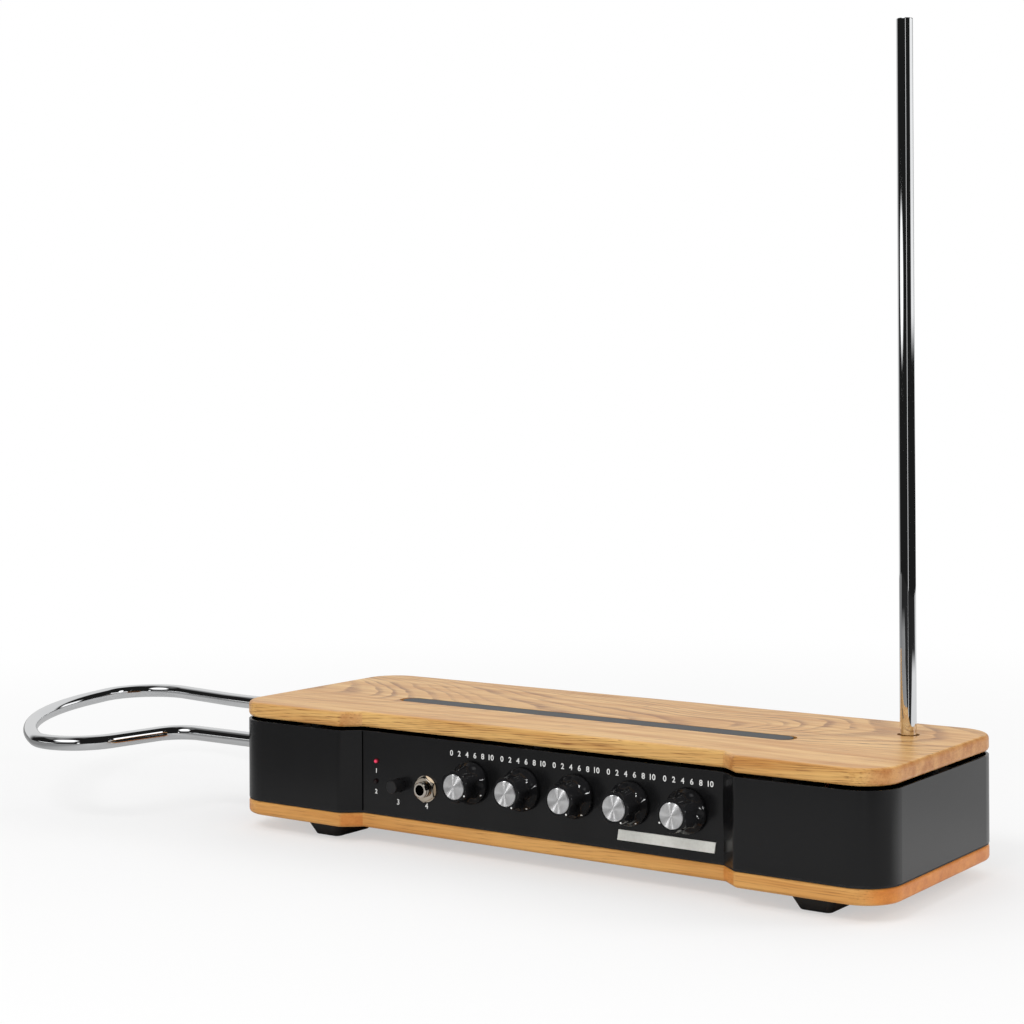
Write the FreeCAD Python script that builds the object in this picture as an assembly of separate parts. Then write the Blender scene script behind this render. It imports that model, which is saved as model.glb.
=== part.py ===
import FreeCAD, Part
import math
import os

# Theremin: two wooden plates with a folded sheet-metal body between them, an upright
# pitch antenna, a looped volume antenna, and a row of knobs in a recessed front.
#
# Frame: origin at the mouth of the stand thread, in the middle of the underside.
# +X to the player's right, +Y away from the player, +Z up. Millimetres.

V = FreeCAD.Vector
X_AXIS = V(1, 0, 0)
Y_AXIS = V(0, 1, 0)
Z_AXIS = V(0, 0, 1)

# ---- driving dimensions -------------------------------------------------------------

# Cabinet plan: a rounded rectangle whose front is set back between two slopes.
HALF_WIDTH = 227.0
HALF_DEPTH = 79.4
CORNER_RADIUS = 23.0
PANEL_FACE = -70.0
RECESS_INNER = 127.7
RECESS_OUTER = 139.4
RECESS_EDGE_RADIUS = 5.0
RECESS_ROOT_RADIUS = 0.8

# Cabinet heights.
PLATE_THICKNESS = 9.5
PLATE_ARRIS = 2.5
TOP_PLATE_BOTTOM = 62.1
TOP_PLATE_TOP = TOP_PLATE_BOTTOM + PLATE_THICKNESS
WRAP_BOTTOM = 10.1
WRAP_TOP = 60.1
SHEET = 1.5

# Music-rest slot in the top plate and the strip laid in it.
SLOT_CENTRE_Y = -12.2
SLOT_LENGTH = 284.0
SLOT_WIDTH = 16.3
SLOT_DEPTH = 4.0
STRIP_LENGTH = 279.0
STRIP_WIDTH = 14.6
STRIP_CENTRE_Y = -11.8
STRIP_BELOW_FACE = 0.1

# Tabs of the wrap that take the plate screws: (x, y, inward x, inward y).
TAB_WIDTH = 24.0
TAB_LENGTH = 14.0
TAB_SCREW_INSET = 9.5
TAB_PLACES = [
    (-163.0, -HALF_DEPTH, 0, 1),
    (0.0, PANEL_FACE, 0, 1),
    (163.0, -HALF_DEPTH, 0, 1),
    (-150.0, HALF_DEPTH, 0, -1),
    (0.0, HALF_DEPTH, 0, -1),
    (150.0, HALF_DEPTH, 0, -1),
    (-HALF_WIDTH, 0.0, 1, 0),
    (HALF_WIDTH, 0.0, -1, 0),
]
SPACER_RADIUS = 4.5

# Pan-head screws, all of one size, with a slot across the head.
SCREW_RADIUS = 1.5
SCREW_HOLE = 1.7
SCREW_HEAD = 2.9
SCREW_HEAD_HEIGHT = 1.9
SCREW_HEAD_ROUNDING = 0.85
DRIVE_RADIUS = 0.46
DRIVE_LENGTH = 3.8
DRIVE_DEPTH = 0.48
SCREW_BITE = 6.5
REAR_SCREW_LENGTH = 7.0
BOARD_SCREW_TIP = 2.0

# Clearances on the radius: screws in their pilots, pressed parts, running parts.
PILOT_GAP = 0.05
PRESS_GAP = 0.02
RUNNING_GAP = 0.05

# Feet: tapered rubber blocks.
FOOT_HEIGHT = 9.5
FOOT_TREAD = (19.0, 32.0)
FOOT_TAPER = 4.9
FOOT_CORNER = 3.5
FOOT_CORNER_GROWTH = 0.3
FOOT_TREAD_EDGE = 0.9
FOOT_PLACES = {
    "foot_front_left": (-161.2, -49.6),
    "foot_front_right": (180.4, -49.6),
    "foot_rear_left": (-161.2, 49.6),
    "foot_rear_right": (180.4, 49.6),
}

# Stand flange: 5/8 in - 27 thread, let in flush with the underside.
STAND_BORE = 7.43
FLANGE_RADIUS = 24.0
FLANGE_THICKNESS = 2.5
BOSS_RADIUS = 11.0
BOSS_TOP = 14.0
FLANGE_GAP = 0.1
BOSS_GAP = 0.2
FLANGE_SCREW_CIRCLE = 17.5
FLANGE_SCREW_LENGTH = 8.0
FLANGE_HEAD_RADIUS = 3.2
FLANGE_HEAD_DEPTH = 1.8
FLANGE_DRIVE_HALF = (1.8, 0.3)
FLANGE_DRIVE_DEPTH = 0.7

# Antenna tube and the sockets it slides in.
TUBE_RADIUS = 4.7625
TUBE_WALL = 0.9
SOCKET_BORE = TUBE_RADIUS + 0.05
SOCKET_RADIUS = 6.25
SOCKET_END = 2.0
REST_GAP = 0.4

# Upright pitch antenna.
PITCH_X = 188.3
PITCH_Y = 37.0
PITCH_RISE = 409.7
PITCH_HOLE = 6.4
PITCH_SOCKET_BOTTOM = 12.0
PITCH_SOCKET_TOP = 60.5
PLUG_LENGTH = 6.0

# Volume loop: a level tube path, straights joined by tangent arcs. It starts at the
# front socket, bulges towards the player and comes back almost straight at the rear.
LOOP_Z = 44.0
LOOP_FRONT_Y = -62.5
LOOP_SOCKET_INNER = -178.0
LOOP_SOCKET_OUTER = -220.5
LOOP_HOLE = 5.9
LOOP_PATH = [
    ("straight", 47.6),
    ("left", 21.2, 81.6),
    ("straight", 35.7),
    ("right", 31.7, 114.0),
    ("straight", 4.0),
    ("right", 236.5, 44.7),
    ("straight", 16.8),
    ("right", 35.8, 111.4),
    ("straight", 50.4),
    ("left", 213.7, 8.5),
]

# Blocks that hold the sockets.
BLOCK_HALF = 8.0
LOOP_BLOCK_X = (-208.0, -188.0)
LOOP_BLOCK_TOP = 53.5
PITCH_BLOCK_HALF = 11.0
PITCH_BLOCK_TOP = 34.0

# Front controls, in the panel plane.
KNOB_Z = 36.4
KNOB_SPACING = 37.25
KNOB_MIDDLE_X = 30.5
KNOB_TURNS = {
    "phones": 121.0,
    "volume": 150.0,
    "pitch": 144.0,
    "waveform": 149.0,
    "brightness": -121.0,
}
KNOB_STANDOFF = 0.8
KNOB_HEIGHT = 17.3
KNOB_HOLLOW = 7.4
KNOB_HOLLOW_END = 5.6
KNOB_PROFILE = [
    (12.3, KNOB_STANDOFF),
    (12.7, KNOB_STANDOFF + 0.4),
    (12.7, 2.6),
    (12.2, 3.3),
    (10.8, 5.4),
    (10.0, 7.6),
    (9.7, 10.5),
    (9.6, KNOB_HEIGHT - 0.5),
    (9.1, KNOB_HEIGHT),
]
CAP_RADIUS = 7.35
CAP_SEAT = 16.6
CAP_HEIGHT = 17.9
CAP_EDGE = 0.35
CAP_GAP = 0.1
FLUTES = 6
FLUTE_RADIUS = 5.2
FLUTE_CIRCLE = 13.7
FLUTE_BALL = 8.8
FLUTE_END = 25.0
SHAFT_RADIUS = 3.0
SHAFT_END = 13.5
KNOB_BORE_END = 14.0
POT_BUSH_RADIUS = 3.5
POT_BUSH_LENGTH = 5.0
POT_RADIUS = 8.5
POT_DEPTH = 9.0
POT_NUT_RADIUS = 6.0
POT_NUT_HEIGHT = 2.2
POT_LEGS_HALF = 7.0
POT_LEGS_DEPTH = (2.5, 7.0)
POT_LEGS_DROP = 4.0
SHAFT_REAR = 6.0
SHAFT_WELL = 6.4

# Lamps: domed lens, and two legs bent down to the board.
LED_RADIUS = 1.5
LED_LENS_BACK = 4.0
LED_DOME_OUT = 0.4
LED_LEG_HALF = 0.25
LED_LEG_OFFSET = 0.9
LED_LEG_START = 3.5
POWER_LED_REACH = 9.5
MUTE_LED_REACH = 6.0
POWER_LED = (-116.5, 42.2)
MUTE_LED = (-116.9, 29.8)
MUTE_PLACE = (-98.5, 29.2)
MUTE_RADIUS = 3.9
MUTE_OUT = 8.5
MUTE_TRAVEL = 1.5
MUTE_EDGE = 0.6
MUTE_GAP = 0.35
MUTE_SKIRT = 2.0
MUTE_STEM_RADIUS = 1.6
MUTE_STEM_END = 10.0
MUTE_SWITCH_FRONT = 5.0
MUTE_SWITCH_DEPTH = 11.0
MUTE_SWITCH_HALF = 6.0
STEM_END_GAP = 0.3

# Quarter-inch sockets: case behind the sheet, threaded bush through it, washer and hexagonal nut.
JACK_PLACE = (-78.0, 29.1)
JACK_BORE = 3.25
JACK_BUSH_RADIUS = 4.75
JACK_BUSH_OUT = 6.4
JACK_CASE_WIDTH = 16.0
JACK_CASE_DEPTH = 24.0
JACK_WALL = 1.5
THREADS = 3
THREAD_PITCH = 1.1
THREAD_DEPTH = 0.4
BUSH_CHAMFER = 0.5
JACK_NUT_ACROSS = 14.0
JACK_NUT_HEIGHT = 2.4
JACK_WASHER_RADIUS = 8.0
JACK_WASHER_HEIGHT = 0.6
NUT_FACE_SHARE = 0.97
NUT_CHAMFER_SLOPE = math.tan(math.radians(30))

BADGE_LEFT = 59.4
BADGE_RIGHT = 122.3
BADGE_BOTTOM = 15.1
BADGE_TOP = 21.1
BADGE_SLANT = 1.0
BADGE_THICKNESS = 0.8

# Circuit board and what stands on it.
BOARD_TOP = 19.6
BOARD_THICKNESS = 1.6
BOARD_X = (-135.0, 145.0)
BOARD_Y = (-58.0, 44.0)
STANDOFF_RADIUS = 3.2
STANDOFF_PLACES = [(x, y) for x in (-127.0, 40.0, 137.0) for y in (-40.0, 37.0)]
IC_PLACES_X = (-90.0, -60.0, -20.0, 10.0, 62.0, 92.0)
IC_HALF_LENGTH = 4.9
IC_Y = (-13.0, -6.6)
IC_HEIGHT = 3.4
CAPACITOR_PLACES_X = (-70.0, -56.0, -42.0, -28.0)
CAPACITOR_Y = 22.0
CAPACITOR_RADIUS = 4.0
CAPACITOR_HEIGHT = 12.0
COIL_PLACES_X = (-112.0, -96.0, 100.0, 116.0)
COIL_Y = 13.0
COIL_HALF = 5.0
COIL_HEIGHT = 13.0
COIL_CORE_RADIUS = 2.2
COIL_CORE_DEPTH = 7.0
CHOKE_LENGTH = 18.0
CHOKE_PITCH = 20.0
CHOKE_RADIUS = 4.6
CHOKE_FLANGE_RADIUS = 5.5
CHOKE_FLANGE_WIDTH = 1.5
PITCH_CHOKES = (52.0, 33.0, 4)
VOLUME_CHOKES = (-120.0, -22.0, 3)

# Insulated leads from the sockets to the board: (x, y) bends at a level, then down.
LEAD_RADIUS = 0.9
LEAD_BEND = 5.0
PITCH_LEAD_Z = 42.0
PITCH_LEAD_BENDS = [(162.0, PITCH_Y), (140.0, 30.0)]
VOLUME_LEAD_BENDS = [(-152.0, LOOP_FRONT_Y), (-128.0, -28.0)]

# Rear panel, behind an opening in the wrap.
REAR_OPENING_X = (-102.0, 102.0)
REAR_OPENING_Z = (19.1, 51.1)
REAR_PANEL_X = 115.0
REAR_PANEL_Z = (12.4, 57.9)
REAR_SCREW_PLACES = [(x, z) for x in (-108.5, 108.5) for z in (20.0, 50.0)]
REAR_JACKS_X = (20.0, 50.0, 80.0)
REAR_JACK_Z = 35.1
REAR_JACK_OUT = 4.5
HOLE_GAP = 0.15
INLET_X = -40.0
INLET_RADIUS = 4.0
INLET_CASE_HALF = (5.0, 5.5)
INLET_DEPTH = 13.0
INLET_BORE = 2.8
INLET_FLOOR = 3.0
INLET_PIN_RADIUS = 1.05
INLET_PIN_SETBACK = 1.5

# Power switch: bezel, case and a rocker on a pin, level with the panel's outer face.
SWITCH_X = -78.0
SWITCH_HALF = (9.4, 6.4)
SWITCH_GAP = 0.2
SWITCH_DEPTH = 15.0
BEZEL_HALF = (11.0, 7.8)
BEZEL_THICKNESS = 1.4
WELL_GAP = (0.8, 0.35)
WELL_DEPTH = 8.0
ROCKER_HALF = (7.6, 4.6)
ROCKER_TILT = 9.0
ROCKER_END_OUT = 2.9
ROCKER_WAIST_OUT = 1.9
ROCKER_SIDE_IN = 1.6
ROCKER_SIDE_DRAFT = 0.6
ROCKER_NOSE_IN = 4.2
ROCKER_NOSE_HALF = 1.8
PIVOT_RADIUS = 1.2
PIVOT_BORE = 1.25
PIVOT_REACH = 0.9
PIVOT_BORE_REACH = 1.2

INNER_REAR = HALF_DEPTH - SHEET
PANEL_INNER = PANEL_FACE + SHEET
REAR_PANEL_OUT = INNER_REAR
REAR_PANEL_IN = INNER_REAR - SHEET

# How far a cutting tool runs past the surface that it cuts.
OVERRUN = 1.0


# ---- shape helpers ------------------------------------------------------------------

def block(x_range, y_range, z_range):
    """Box between two values on each axis."""
    size = [pair[1] - pair[0] for pair in (x_range, y_range, z_range)]
    return Part.makeBox(size[0], size[1], size[2], V(x_range[0], y_range[0], z_range[0]))


def rod(radius, start, end):
    """Solid cylinder between two points."""
    direction = V(*end) - V(*start)
    return Part.makeCylinder(radius, direction.Length, V(*start), direction)


def sleeve(radius, bore, start, end):
    """Hollow cylinder between two points."""
    return rod(radius, start, end).cut(rod(bore, start, end))


def fuse_all(shapes):
    """One solid out of touching shapes, without leftover seams."""
    return shapes[0].multiFuse(shapes[1:]).removeSplitter()


def rounded_outline(points, radii, height):
    """Closed outline in a level plane, every corner rounded by a tangent arc."""
    count = len(points)
    arcs = []
    for index, (point, radius) in enumerate(zip(points, radii)):
        corner = V(point[0], point[1], height)
        before = points[index - 1]
        after = points[(index + 1) % count]
        to_before = (V(before[0], before[1], height) - corner).normalize()
        to_after = (V(after[0], after[1], height) - corner).normalize()
        half_angle = to_before.getAngle(to_after) / 2
        inward = (to_before + to_after).normalize()
        reach = radius / math.tan(half_angle)
        centre = corner + inward * (radius / math.sin(half_angle))
        arcs.append((corner + to_before * reach, centre - inward * radius, corner + to_after * reach))
    edges = []
    for index, (start, middle, end) in enumerate(arcs):
        edges.append(Part.Arc(start, middle, end).toShape())
        next_start = arcs[(index + 1) % count][0]
        if (next_start - end).Length > 1e-6:
            edges.append(Part.LineSegment(end, next_start).toShape())
    return Part.Wire(edges)


def polygon_face(points):
    """Flat face through a list of 3-D points."""
    return Part.Face(Part.makePolygon([V(*point) for point in points + points[:1]]))


def cabinet_outline(height):
    """Plan outline shared by both plates and the metal body."""
    points = [
        (-HALF_WIDTH, -HALF_DEPTH),
        (-RECESS_OUTER, -HALF_DEPTH),
        (-RECESS_INNER, PANEL_FACE),
        (RECESS_INNER, PANEL_FACE),
        (RECESS_OUTER, -HALF_DEPTH),
        (HALF_WIDTH, -HALF_DEPTH),
        (HALF_WIDTH, HALF_DEPTH),
        (-HALF_WIDTH, HALF_DEPTH),
    ]
    recess = [RECESS_EDGE_RADIUS, RECESS_ROOT_RADIUS, RECESS_ROOT_RADIUS, RECESS_EDGE_RADIUS]
    radii = [CORNER_RADIUS] + recess + [CORNER_RADIUS] * 3
    return rounded_outline(points, radii, height)


def stadium(length, width, centre_y, low, high):
    """Upright round-ended bar, centred on x = 0."""
    half = length / 2
    side = width / 2
    points = [
        (-half, centre_y - side),
        (half, centre_y - side),
        (half, centre_y + side),
        (-half, centre_y + side),
    ]
    outline = rounded_outline(points, [side - 0.001] * 4, low)
    return Part.Face(outline).extrude(Z_AXIS * (high - low))


def wooden_plate(bottom):
    """Plate of the cabinet's outline with rounded arrises above and below."""
    plate = Part.Face(cabinet_outline(bottom)).extrude(Z_AXIS * PLATE_THICKNESS)
    arris = []
    for edge in plate.Edges:
        if edge.BoundBox.ZLength < 0.01:
            arris.append(edge)
    return plate.makeFillet(PLATE_ARRIS, arris)


def tab_screw_place(place):
    """Plan position of the screw through one tab."""
    x, y, inward_x, inward_y = place
    return x + inward_x * TAB_SCREW_INSET, y + inward_y * TAB_SCREW_INSET


def pan_screw(seat, tip):
    """Screw whose head sits on the seat point, with its shank down to the tip point."""
    direction = (V(*tip) - V(*seat)).normalize()
    head_top = V(*seat) - direction * SCREW_HEAD_HEIGHT
    head = Part.makeCylinder(SCREW_HEAD, SCREW_HEAD_HEIGHT, head_top, direction)
    rim = [edge for edge in head.Edges if abs((edge.CenterOfMass - head_top).dot(direction)) < 0.01]
    head = head.makeFillet(SCREW_HEAD_ROUNDING, rim[:1])
    across = V(direction.z, direction.x, direction.y)
    slot_start = head_top + direction * DRIVE_DEPTH - across * (DRIVE_LENGTH / 2)
    slot = Part.makeCylinder(DRIVE_RADIUS, DRIVE_LENGTH, slot_start, across)
    return head.cut(slot).fuse(rod(SCREW_RADIUS, seat, tip)).removeSplitter()


# ---- wooden plates ------------------------------------------------------------------

def make_top_plate():
    plate = wooden_plate(TOP_PLATE_BOTTOM)
    slot_floor = TOP_PLATE_TOP - SLOT_DEPTH
    above = TOP_PLATE_TOP + OVERRUN
    below = TOP_PLATE_BOTTOM - OVERRUN
    plate = plate.cut(stadium(SLOT_LENGTH, SLOT_WIDTH, SLOT_CENTRE_Y, slot_floor, above))
    plate = plate.cut(rod(PITCH_HOLE, (PITCH_X, PITCH_Y, below), (PITCH_X, PITCH_Y, above)))
    pilot_top = TOP_PLATE_BOTTOM + SCREW_BITE + PILOT_GAP
    for place in TAB_PLACES:
        x, y = tab_screw_place(place)
        plate = plate.cut(rod(SCREW_RADIUS + PILOT_GAP, (x, y, below), (x, y, pilot_top)))
    return plate


def flange_screw_places():
    """Plan positions of the four screws round the stand flange."""
    places = []
    for quarter in range(4):
        angle = math.radians(45 + 90 * quarter)
        x = FLANGE_SCREW_CIRCLE * math.cos(angle)
        y = FLANGE_SCREW_CIRCLE * math.sin(angle)
        places.append((x, y))
    return places


def make_bottom_plate():
    above = PLATE_THICKNESS + OVERRUN
    pilot = SCREW_RADIUS + PILOT_GAP
    plate = wooden_plate(0)
    plate = plate.cut(rod(FLANGE_RADIUS + FLANGE_GAP, (0, 0, -OVERRUN), (0, 0, FLANGE_THICKNESS)))
    plate = plate.cut(rod(BOSS_RADIUS + BOSS_GAP, (0, 0, -OVERRUN), (0, 0, above)))
    for x, y in flange_screw_places():
        plate = plate.cut(rod(pilot, (x, y, 0), (x, y, FLANGE_SCREW_LENGTH + PILOT_GAP)))
    for place in TAB_PLACES:
        x, y = tab_screw_place(place)
        pilot_bottom = PLATE_THICKNESS - SCREW_BITE - PILOT_GAP
        plate = plate.cut(rod(pilot, (x, y, pilot_bottom), (x, y, above)))
    return plate


def make_inlay_strip():
    floor = TOP_PLATE_TOP - SLOT_DEPTH
    return stadium(STRIP_LENGTH, STRIP_WIDTH, STRIP_CENTRE_Y, floor, TOP_PLATE_TOP - STRIP_BELOW_FACE)


# ---- metal body ---------------------------------------------------------------------

def tab_block(place, low):
    """One inward tab of the wrap, rooted in the wall."""
    x, y, inward_x, inward_y = place
    root_x = x + inward_x * SHEET / 2
    root_y = y + inward_y * SHEET / 2
    end_x = x + inward_x * TAB_LENGTH
    end_y = y + inward_y * TAB_LENGTH
    half = TAB_WIDTH / 2
    if inward_x:
        x_range = (min(root_x, end_x), max(root_x, end_x))
        y_range = (y - half, y + half)
    else:
        x_range = (x - half, x + half)
        y_range = (min(root_y, end_y), max(root_y, end_y))
    return block(x_range, y_range, (low, low + SHEET))


def make_body_wrap():
    height = WRAP_TOP - WRAP_BOTTOM
    outer = Part.Face(cabinet_outline(WRAP_BOTTOM))
    inner = outer.makeOffset2D(-SHEET)
    wrap = outer.extrude(Z_AXIS * height).cut(inner.extrude(Z_AXIS * height))
    tabs = []
    for place in TAB_PLACES:
        tabs.append(tab_block(place, PLATE_THICKNESS))
        tabs.append(tab_block(place, WRAP_TOP - SHEET))
    wrap = fuse_all([wrap] + tabs)
    holes = []
    for place in TAB_PLACES:
        x, y = tab_screw_place(place)
        holes.append(rod(SCREW_HOLE, (x, y, 0), (x, y, TOP_PLATE_BOTTOM)))
    panel_holes = [
        (POWER_LED, LED_RADIUS + HOLE_GAP),
        (MUTE_LED, LED_RADIUS + HOLE_GAP),
        (MUTE_PLACE, MUTE_RADIUS + MUTE_GAP),
        (JACK_PLACE, JACK_BUSH_RADIUS + HOLE_GAP),
    ]
    for x in knob_positions().values():
        panel_holes.append(((x, KNOB_Z), POT_BUSH_RADIUS + HOLE_GAP))
    for (x, z), radius in panel_holes:
        holes.append(rod(radius, (x, PANEL_FACE - OVERRUN, z), (x, PANEL_INNER + OVERRUN, z)))
    for y in (LOOP_FRONT_Y, loop_rear_y()):
        holes.append(rod(LOOP_HOLE, (-HALF_WIDTH - OVERRUN, y, LOOP_Z), (LOOP_SOCKET_OUTER, y, LOOP_Z)))
    inside = INNER_REAR - OVERRUN
    outside = HALF_DEPTH + OVERRUN
    holes.append(block(REAR_OPENING_X, (inside, outside), REAR_OPENING_Z))
    for x, z in REAR_SCREW_PLACES:
        holes.append(rod(SCREW_HOLE, (x, inside, z), (x, outside, z)))
    return wrap.cut(holes)


def make_top_spacers():
    spacers = []
    for place in TAB_PLACES:
        x, y = tab_screw_place(place)
        spacers.append(sleeve(SPACER_RADIUS, SCREW_HOLE, (x, y, WRAP_TOP), (x, y, TOP_PLATE_BOTTOM)))
    return Part.makeCompound(spacers)


def make_top_screws():
    screws = []
    for place in TAB_PLACES:
        x, y = tab_screw_place(place)
        seat = (x, y, WRAP_TOP - SHEET)
        screws.append(pan_screw(seat, (x, y, TOP_PLATE_BOTTOM + SCREW_BITE)))
    return Part.makeCompound(screws)


def make_base_screws():
    screws = []
    for place in TAB_PLACES:
        x, y = tab_screw_place(place)
        seat = (x, y, PLATE_THICKNESS + SHEET)
        screws.append(pan_screw(seat, (x, y, PLATE_THICKNESS - SCREW_BITE)))
    return Part.makeCompound(screws)


# ---- feet, stand flange, badge ------------------------------------------------------

def make_foot(centre_x, centre_y):
    sections = []
    for level, grow in ((0.0, FOOT_TAPER), (-FOOT_HEIGHT, 0.0)):
        half_x = FOOT_TREAD[0] / 2 + grow
        half_y = FOOT_TREAD[1] / 2 + grow
        points = [
            (centre_x - half_x, centre_y - half_y),
            (centre_x + half_x, centre_y - half_y),
            (centre_x + half_x, centre_y + half_y),
            (centre_x - half_x, centre_y + half_y),
        ]
        corner = FOOT_CORNER + grow * FOOT_CORNER_GROWTH
        sections.append(rounded_outline(points, [corner] * 4, level))
    foot = Part.makeLoft(sections, True, True)
    tread = [edge for edge in foot.Edges if edge.BoundBox.ZMax < -FOOT_HEIGHT + 0.01]
    return foot.makeFillet(FOOT_TREAD_EDGE, tread)


def make_stand_flange():
    disc = rod(FLANGE_RADIUS, (0, 0, 0), (0, 0, FLANGE_THICKNESS))
    boss = rod(BOSS_RADIUS, (0, 0, 0), (0, 0, BOSS_TOP))
    flange = disc.fuse(boss).cut(rod(STAND_BORE, (0, 0, -OVERRUN), (0, 0, BOSS_TOP + OVERRUN)))
    sink = FLANGE_HEAD_RADIUS + FLANGE_GAP
    hole = SCREW_RADIUS + FLANGE_GAP
    for x, y in flange_screw_places():
        flange = flange.cut(Part.makeCone(sink, hole, FLANGE_HEAD_DEPTH, V(x, y, 0), Z_AXIS))
        flange = flange.cut(rod(hole, (x, y, 0), (x, y, FLANGE_THICKNESS + OVERRUN)))
    return flange.removeSplitter()


def make_flange_screws():
    half_x, half_y = FLANGE_DRIVE_HALF
    drive_z = (-OVERRUN, FLANGE_DRIVE_DEPTH)
    screws = []
    for x, y in flange_screw_places():
        head = Part.makeCone(FLANGE_HEAD_RADIUS, SCREW_RADIUS, FLANGE_HEAD_DEPTH, V(x, y, 0), Z_AXIS)
        shank = rod(SCREW_RADIUS, (x, y, 0), (x, y, FLANGE_SCREW_LENGTH))
        drive = block((x - half_x, x + half_x), (y - half_y, y + half_y), drive_z)
        screws.append(head.fuse(shank).cut(drive).removeSplitter())
    return Part.makeCompound(screws)


def make_name_plate():
    front = PANEL_FACE - BADGE_THICKNESS
    outline = [
        (BADGE_LEFT, front, BADGE_BOTTOM),
        (BADGE_RIGHT, front, BADGE_BOTTOM),
        (BADGE_RIGHT + BADGE_SLANT, front, BADGE_TOP),
        (BADGE_LEFT + BADGE_SLANT, front, BADGE_TOP),
    ]
    return polygon_face(outline).extrude(Y_AXIS * BADGE_THICKNESS)


# ---- knobs and potentiometers -------------------------------------------------------

def knob_positions():
    """Knob name to its x, left to right."""
    positions = {}
    for index, name in enumerate(KNOB_TURNS):
        positions[name] = KNOB_MIDDLE_X + (index - 2) * KNOB_SPACING
    return positions


def turned(profile):
    """Body turned about the Y axis from (radius, height above the panel) points."""
    points = [(radius, -height, 0) for radius, height in profile]
    return polygon_face(points).revolve(V(0, 0, 0), Y_AXIS, 360)


def place_on_panel(shape, x, z, turn=0.0):
    """Turn a body about its own axis, clockwise from the front, and set it on the panel."""
    shape.rotate(V(0, 0, 0), Y_AXIS, turn)
    shape.translate(V(x, PANEL_FACE, z))
    return shape


def make_knob(x, turn):
    profile = list(KNOB_PROFILE)
    profile += [
        (CAP_RADIUS + CAP_GAP, KNOB_HEIGHT),
        (CAP_RADIUS + CAP_GAP, CAP_SEAT),
        (0, CAP_SEAT),
        (0, KNOB_BORE_END),
        (SHAFT_RADIUS + PRESS_GAP, KNOB_BORE_END),
        (SHAFT_RADIUS + PRESS_GAP, KNOB_HOLLOW_END),
        (KNOB_HOLLOW, KNOB_HOLLOW_END),
        (KNOB_HOLLOW, KNOB_STANDOFF),
    ]
    knob = turned(profile)
    flutes = []
    for index in range(FLUTES):
        angle = math.radians(360 / FLUTES * (index + 0.5))
        flute_x = FLUTE_CIRCLE * math.sin(angle)
        flute_z = FLUTE_CIRCLE * math.cos(angle)
        flutes.append(Part.makeSphere(FLUTE_RADIUS, V(flute_x, -FLUTE_BALL, flute_z)))
        flutes.append(rod(FLUTE_RADIUS, (flute_x, -FLUTE_BALL, flute_z), (flute_x, -FLUTE_END, flute_z)))
    return place_on_panel(knob.cut(flutes), x, KNOB_Z, turn)


def make_cap(x, turn):
    profile = [
        (0, CAP_SEAT),
        (CAP_RADIUS, CAP_SEAT),
        (CAP_RADIUS, CAP_HEIGHT - CAP_EDGE),
        (CAP_RADIUS - CAP_EDGE, CAP_HEIGHT),
        (0, CAP_HEIGHT),
    ]
    return place_on_panel(turned(profile), x, KNOB_Z, turn)


def make_shaft(x):
    start = (x, PANEL_INNER + SHAFT_REAR, KNOB_Z)
    return rod(SHAFT_RADIUS, start, (x, PANEL_FACE - SHAFT_END, KNOB_Z))


def make_potentiometers():
    front = PANEL_FACE - POT_BUSH_LENGTH
    legs_y = (PANEL_INNER + POT_LEGS_DEPTH[0], PANEL_INNER + POT_LEGS_DEPTH[1])
    legs_z = (BOARD_TOP, KNOB_Z - POT_LEGS_DROP)
    pots = []
    for x in knob_positions().values():
        case = rod(POT_RADIUS, (x, PANEL_INNER, KNOB_Z), (x, PANEL_INNER + POT_DEPTH, KNOB_Z))
        legs = block((x - POT_LEGS_HALF, x + POT_LEGS_HALF), legs_y, legs_z)
        bush = rod(POT_BUSH_RADIUS, (x, PANEL_INNER + OVERRUN, KNOB_Z), (x, front, KNOB_Z))
        well_end = (x, PANEL_INNER + SHAFT_WELL, KNOB_Z)
        well = rod(SHAFT_RADIUS + RUNNING_GAP, (x, front - OVERRUN, KNOB_Z), well_end)
        pots.append(fuse_all([case, legs, bush]).cut(well))
    return Part.makeCompound(pots)


def hex_nut(across, height, bore):
    """Six-sided nut on the Y axis, seated at y = 0, with its corners chamfered in front."""
    corner = across / math.sqrt(3)
    points = []
    for index in range(6):
        angle = math.radians(60 * index + 30)
        points.append((corner * math.cos(angle), 0, corner * math.sin(angle)))
    prism = polygon_face(points).extrude(Y_AXIS * -height)
    face_radius = across / 2 * NUT_FACE_SHARE
    drop = (corner - face_radius) * NUT_CHAMFER_SLOPE
    blank = turned([(bore, 0), (corner, 0), (corner, height - drop), (face_radius, height), (bore, height)])
    return prism.common(blank)


def make_pot_nuts():
    nuts = []
    for x in knob_positions().values():
        nut = hex_nut(POT_NUT_RADIUS * math.sqrt(3), POT_NUT_HEIGHT, POT_BUSH_RADIUS + RUNNING_GAP)
        nuts.append(place_on_panel(nut, x, KNOB_Z))
    return Part.makeCompound(nuts)


# ---- lamps, mute button, sockets ----------------------------------------------------

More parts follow.
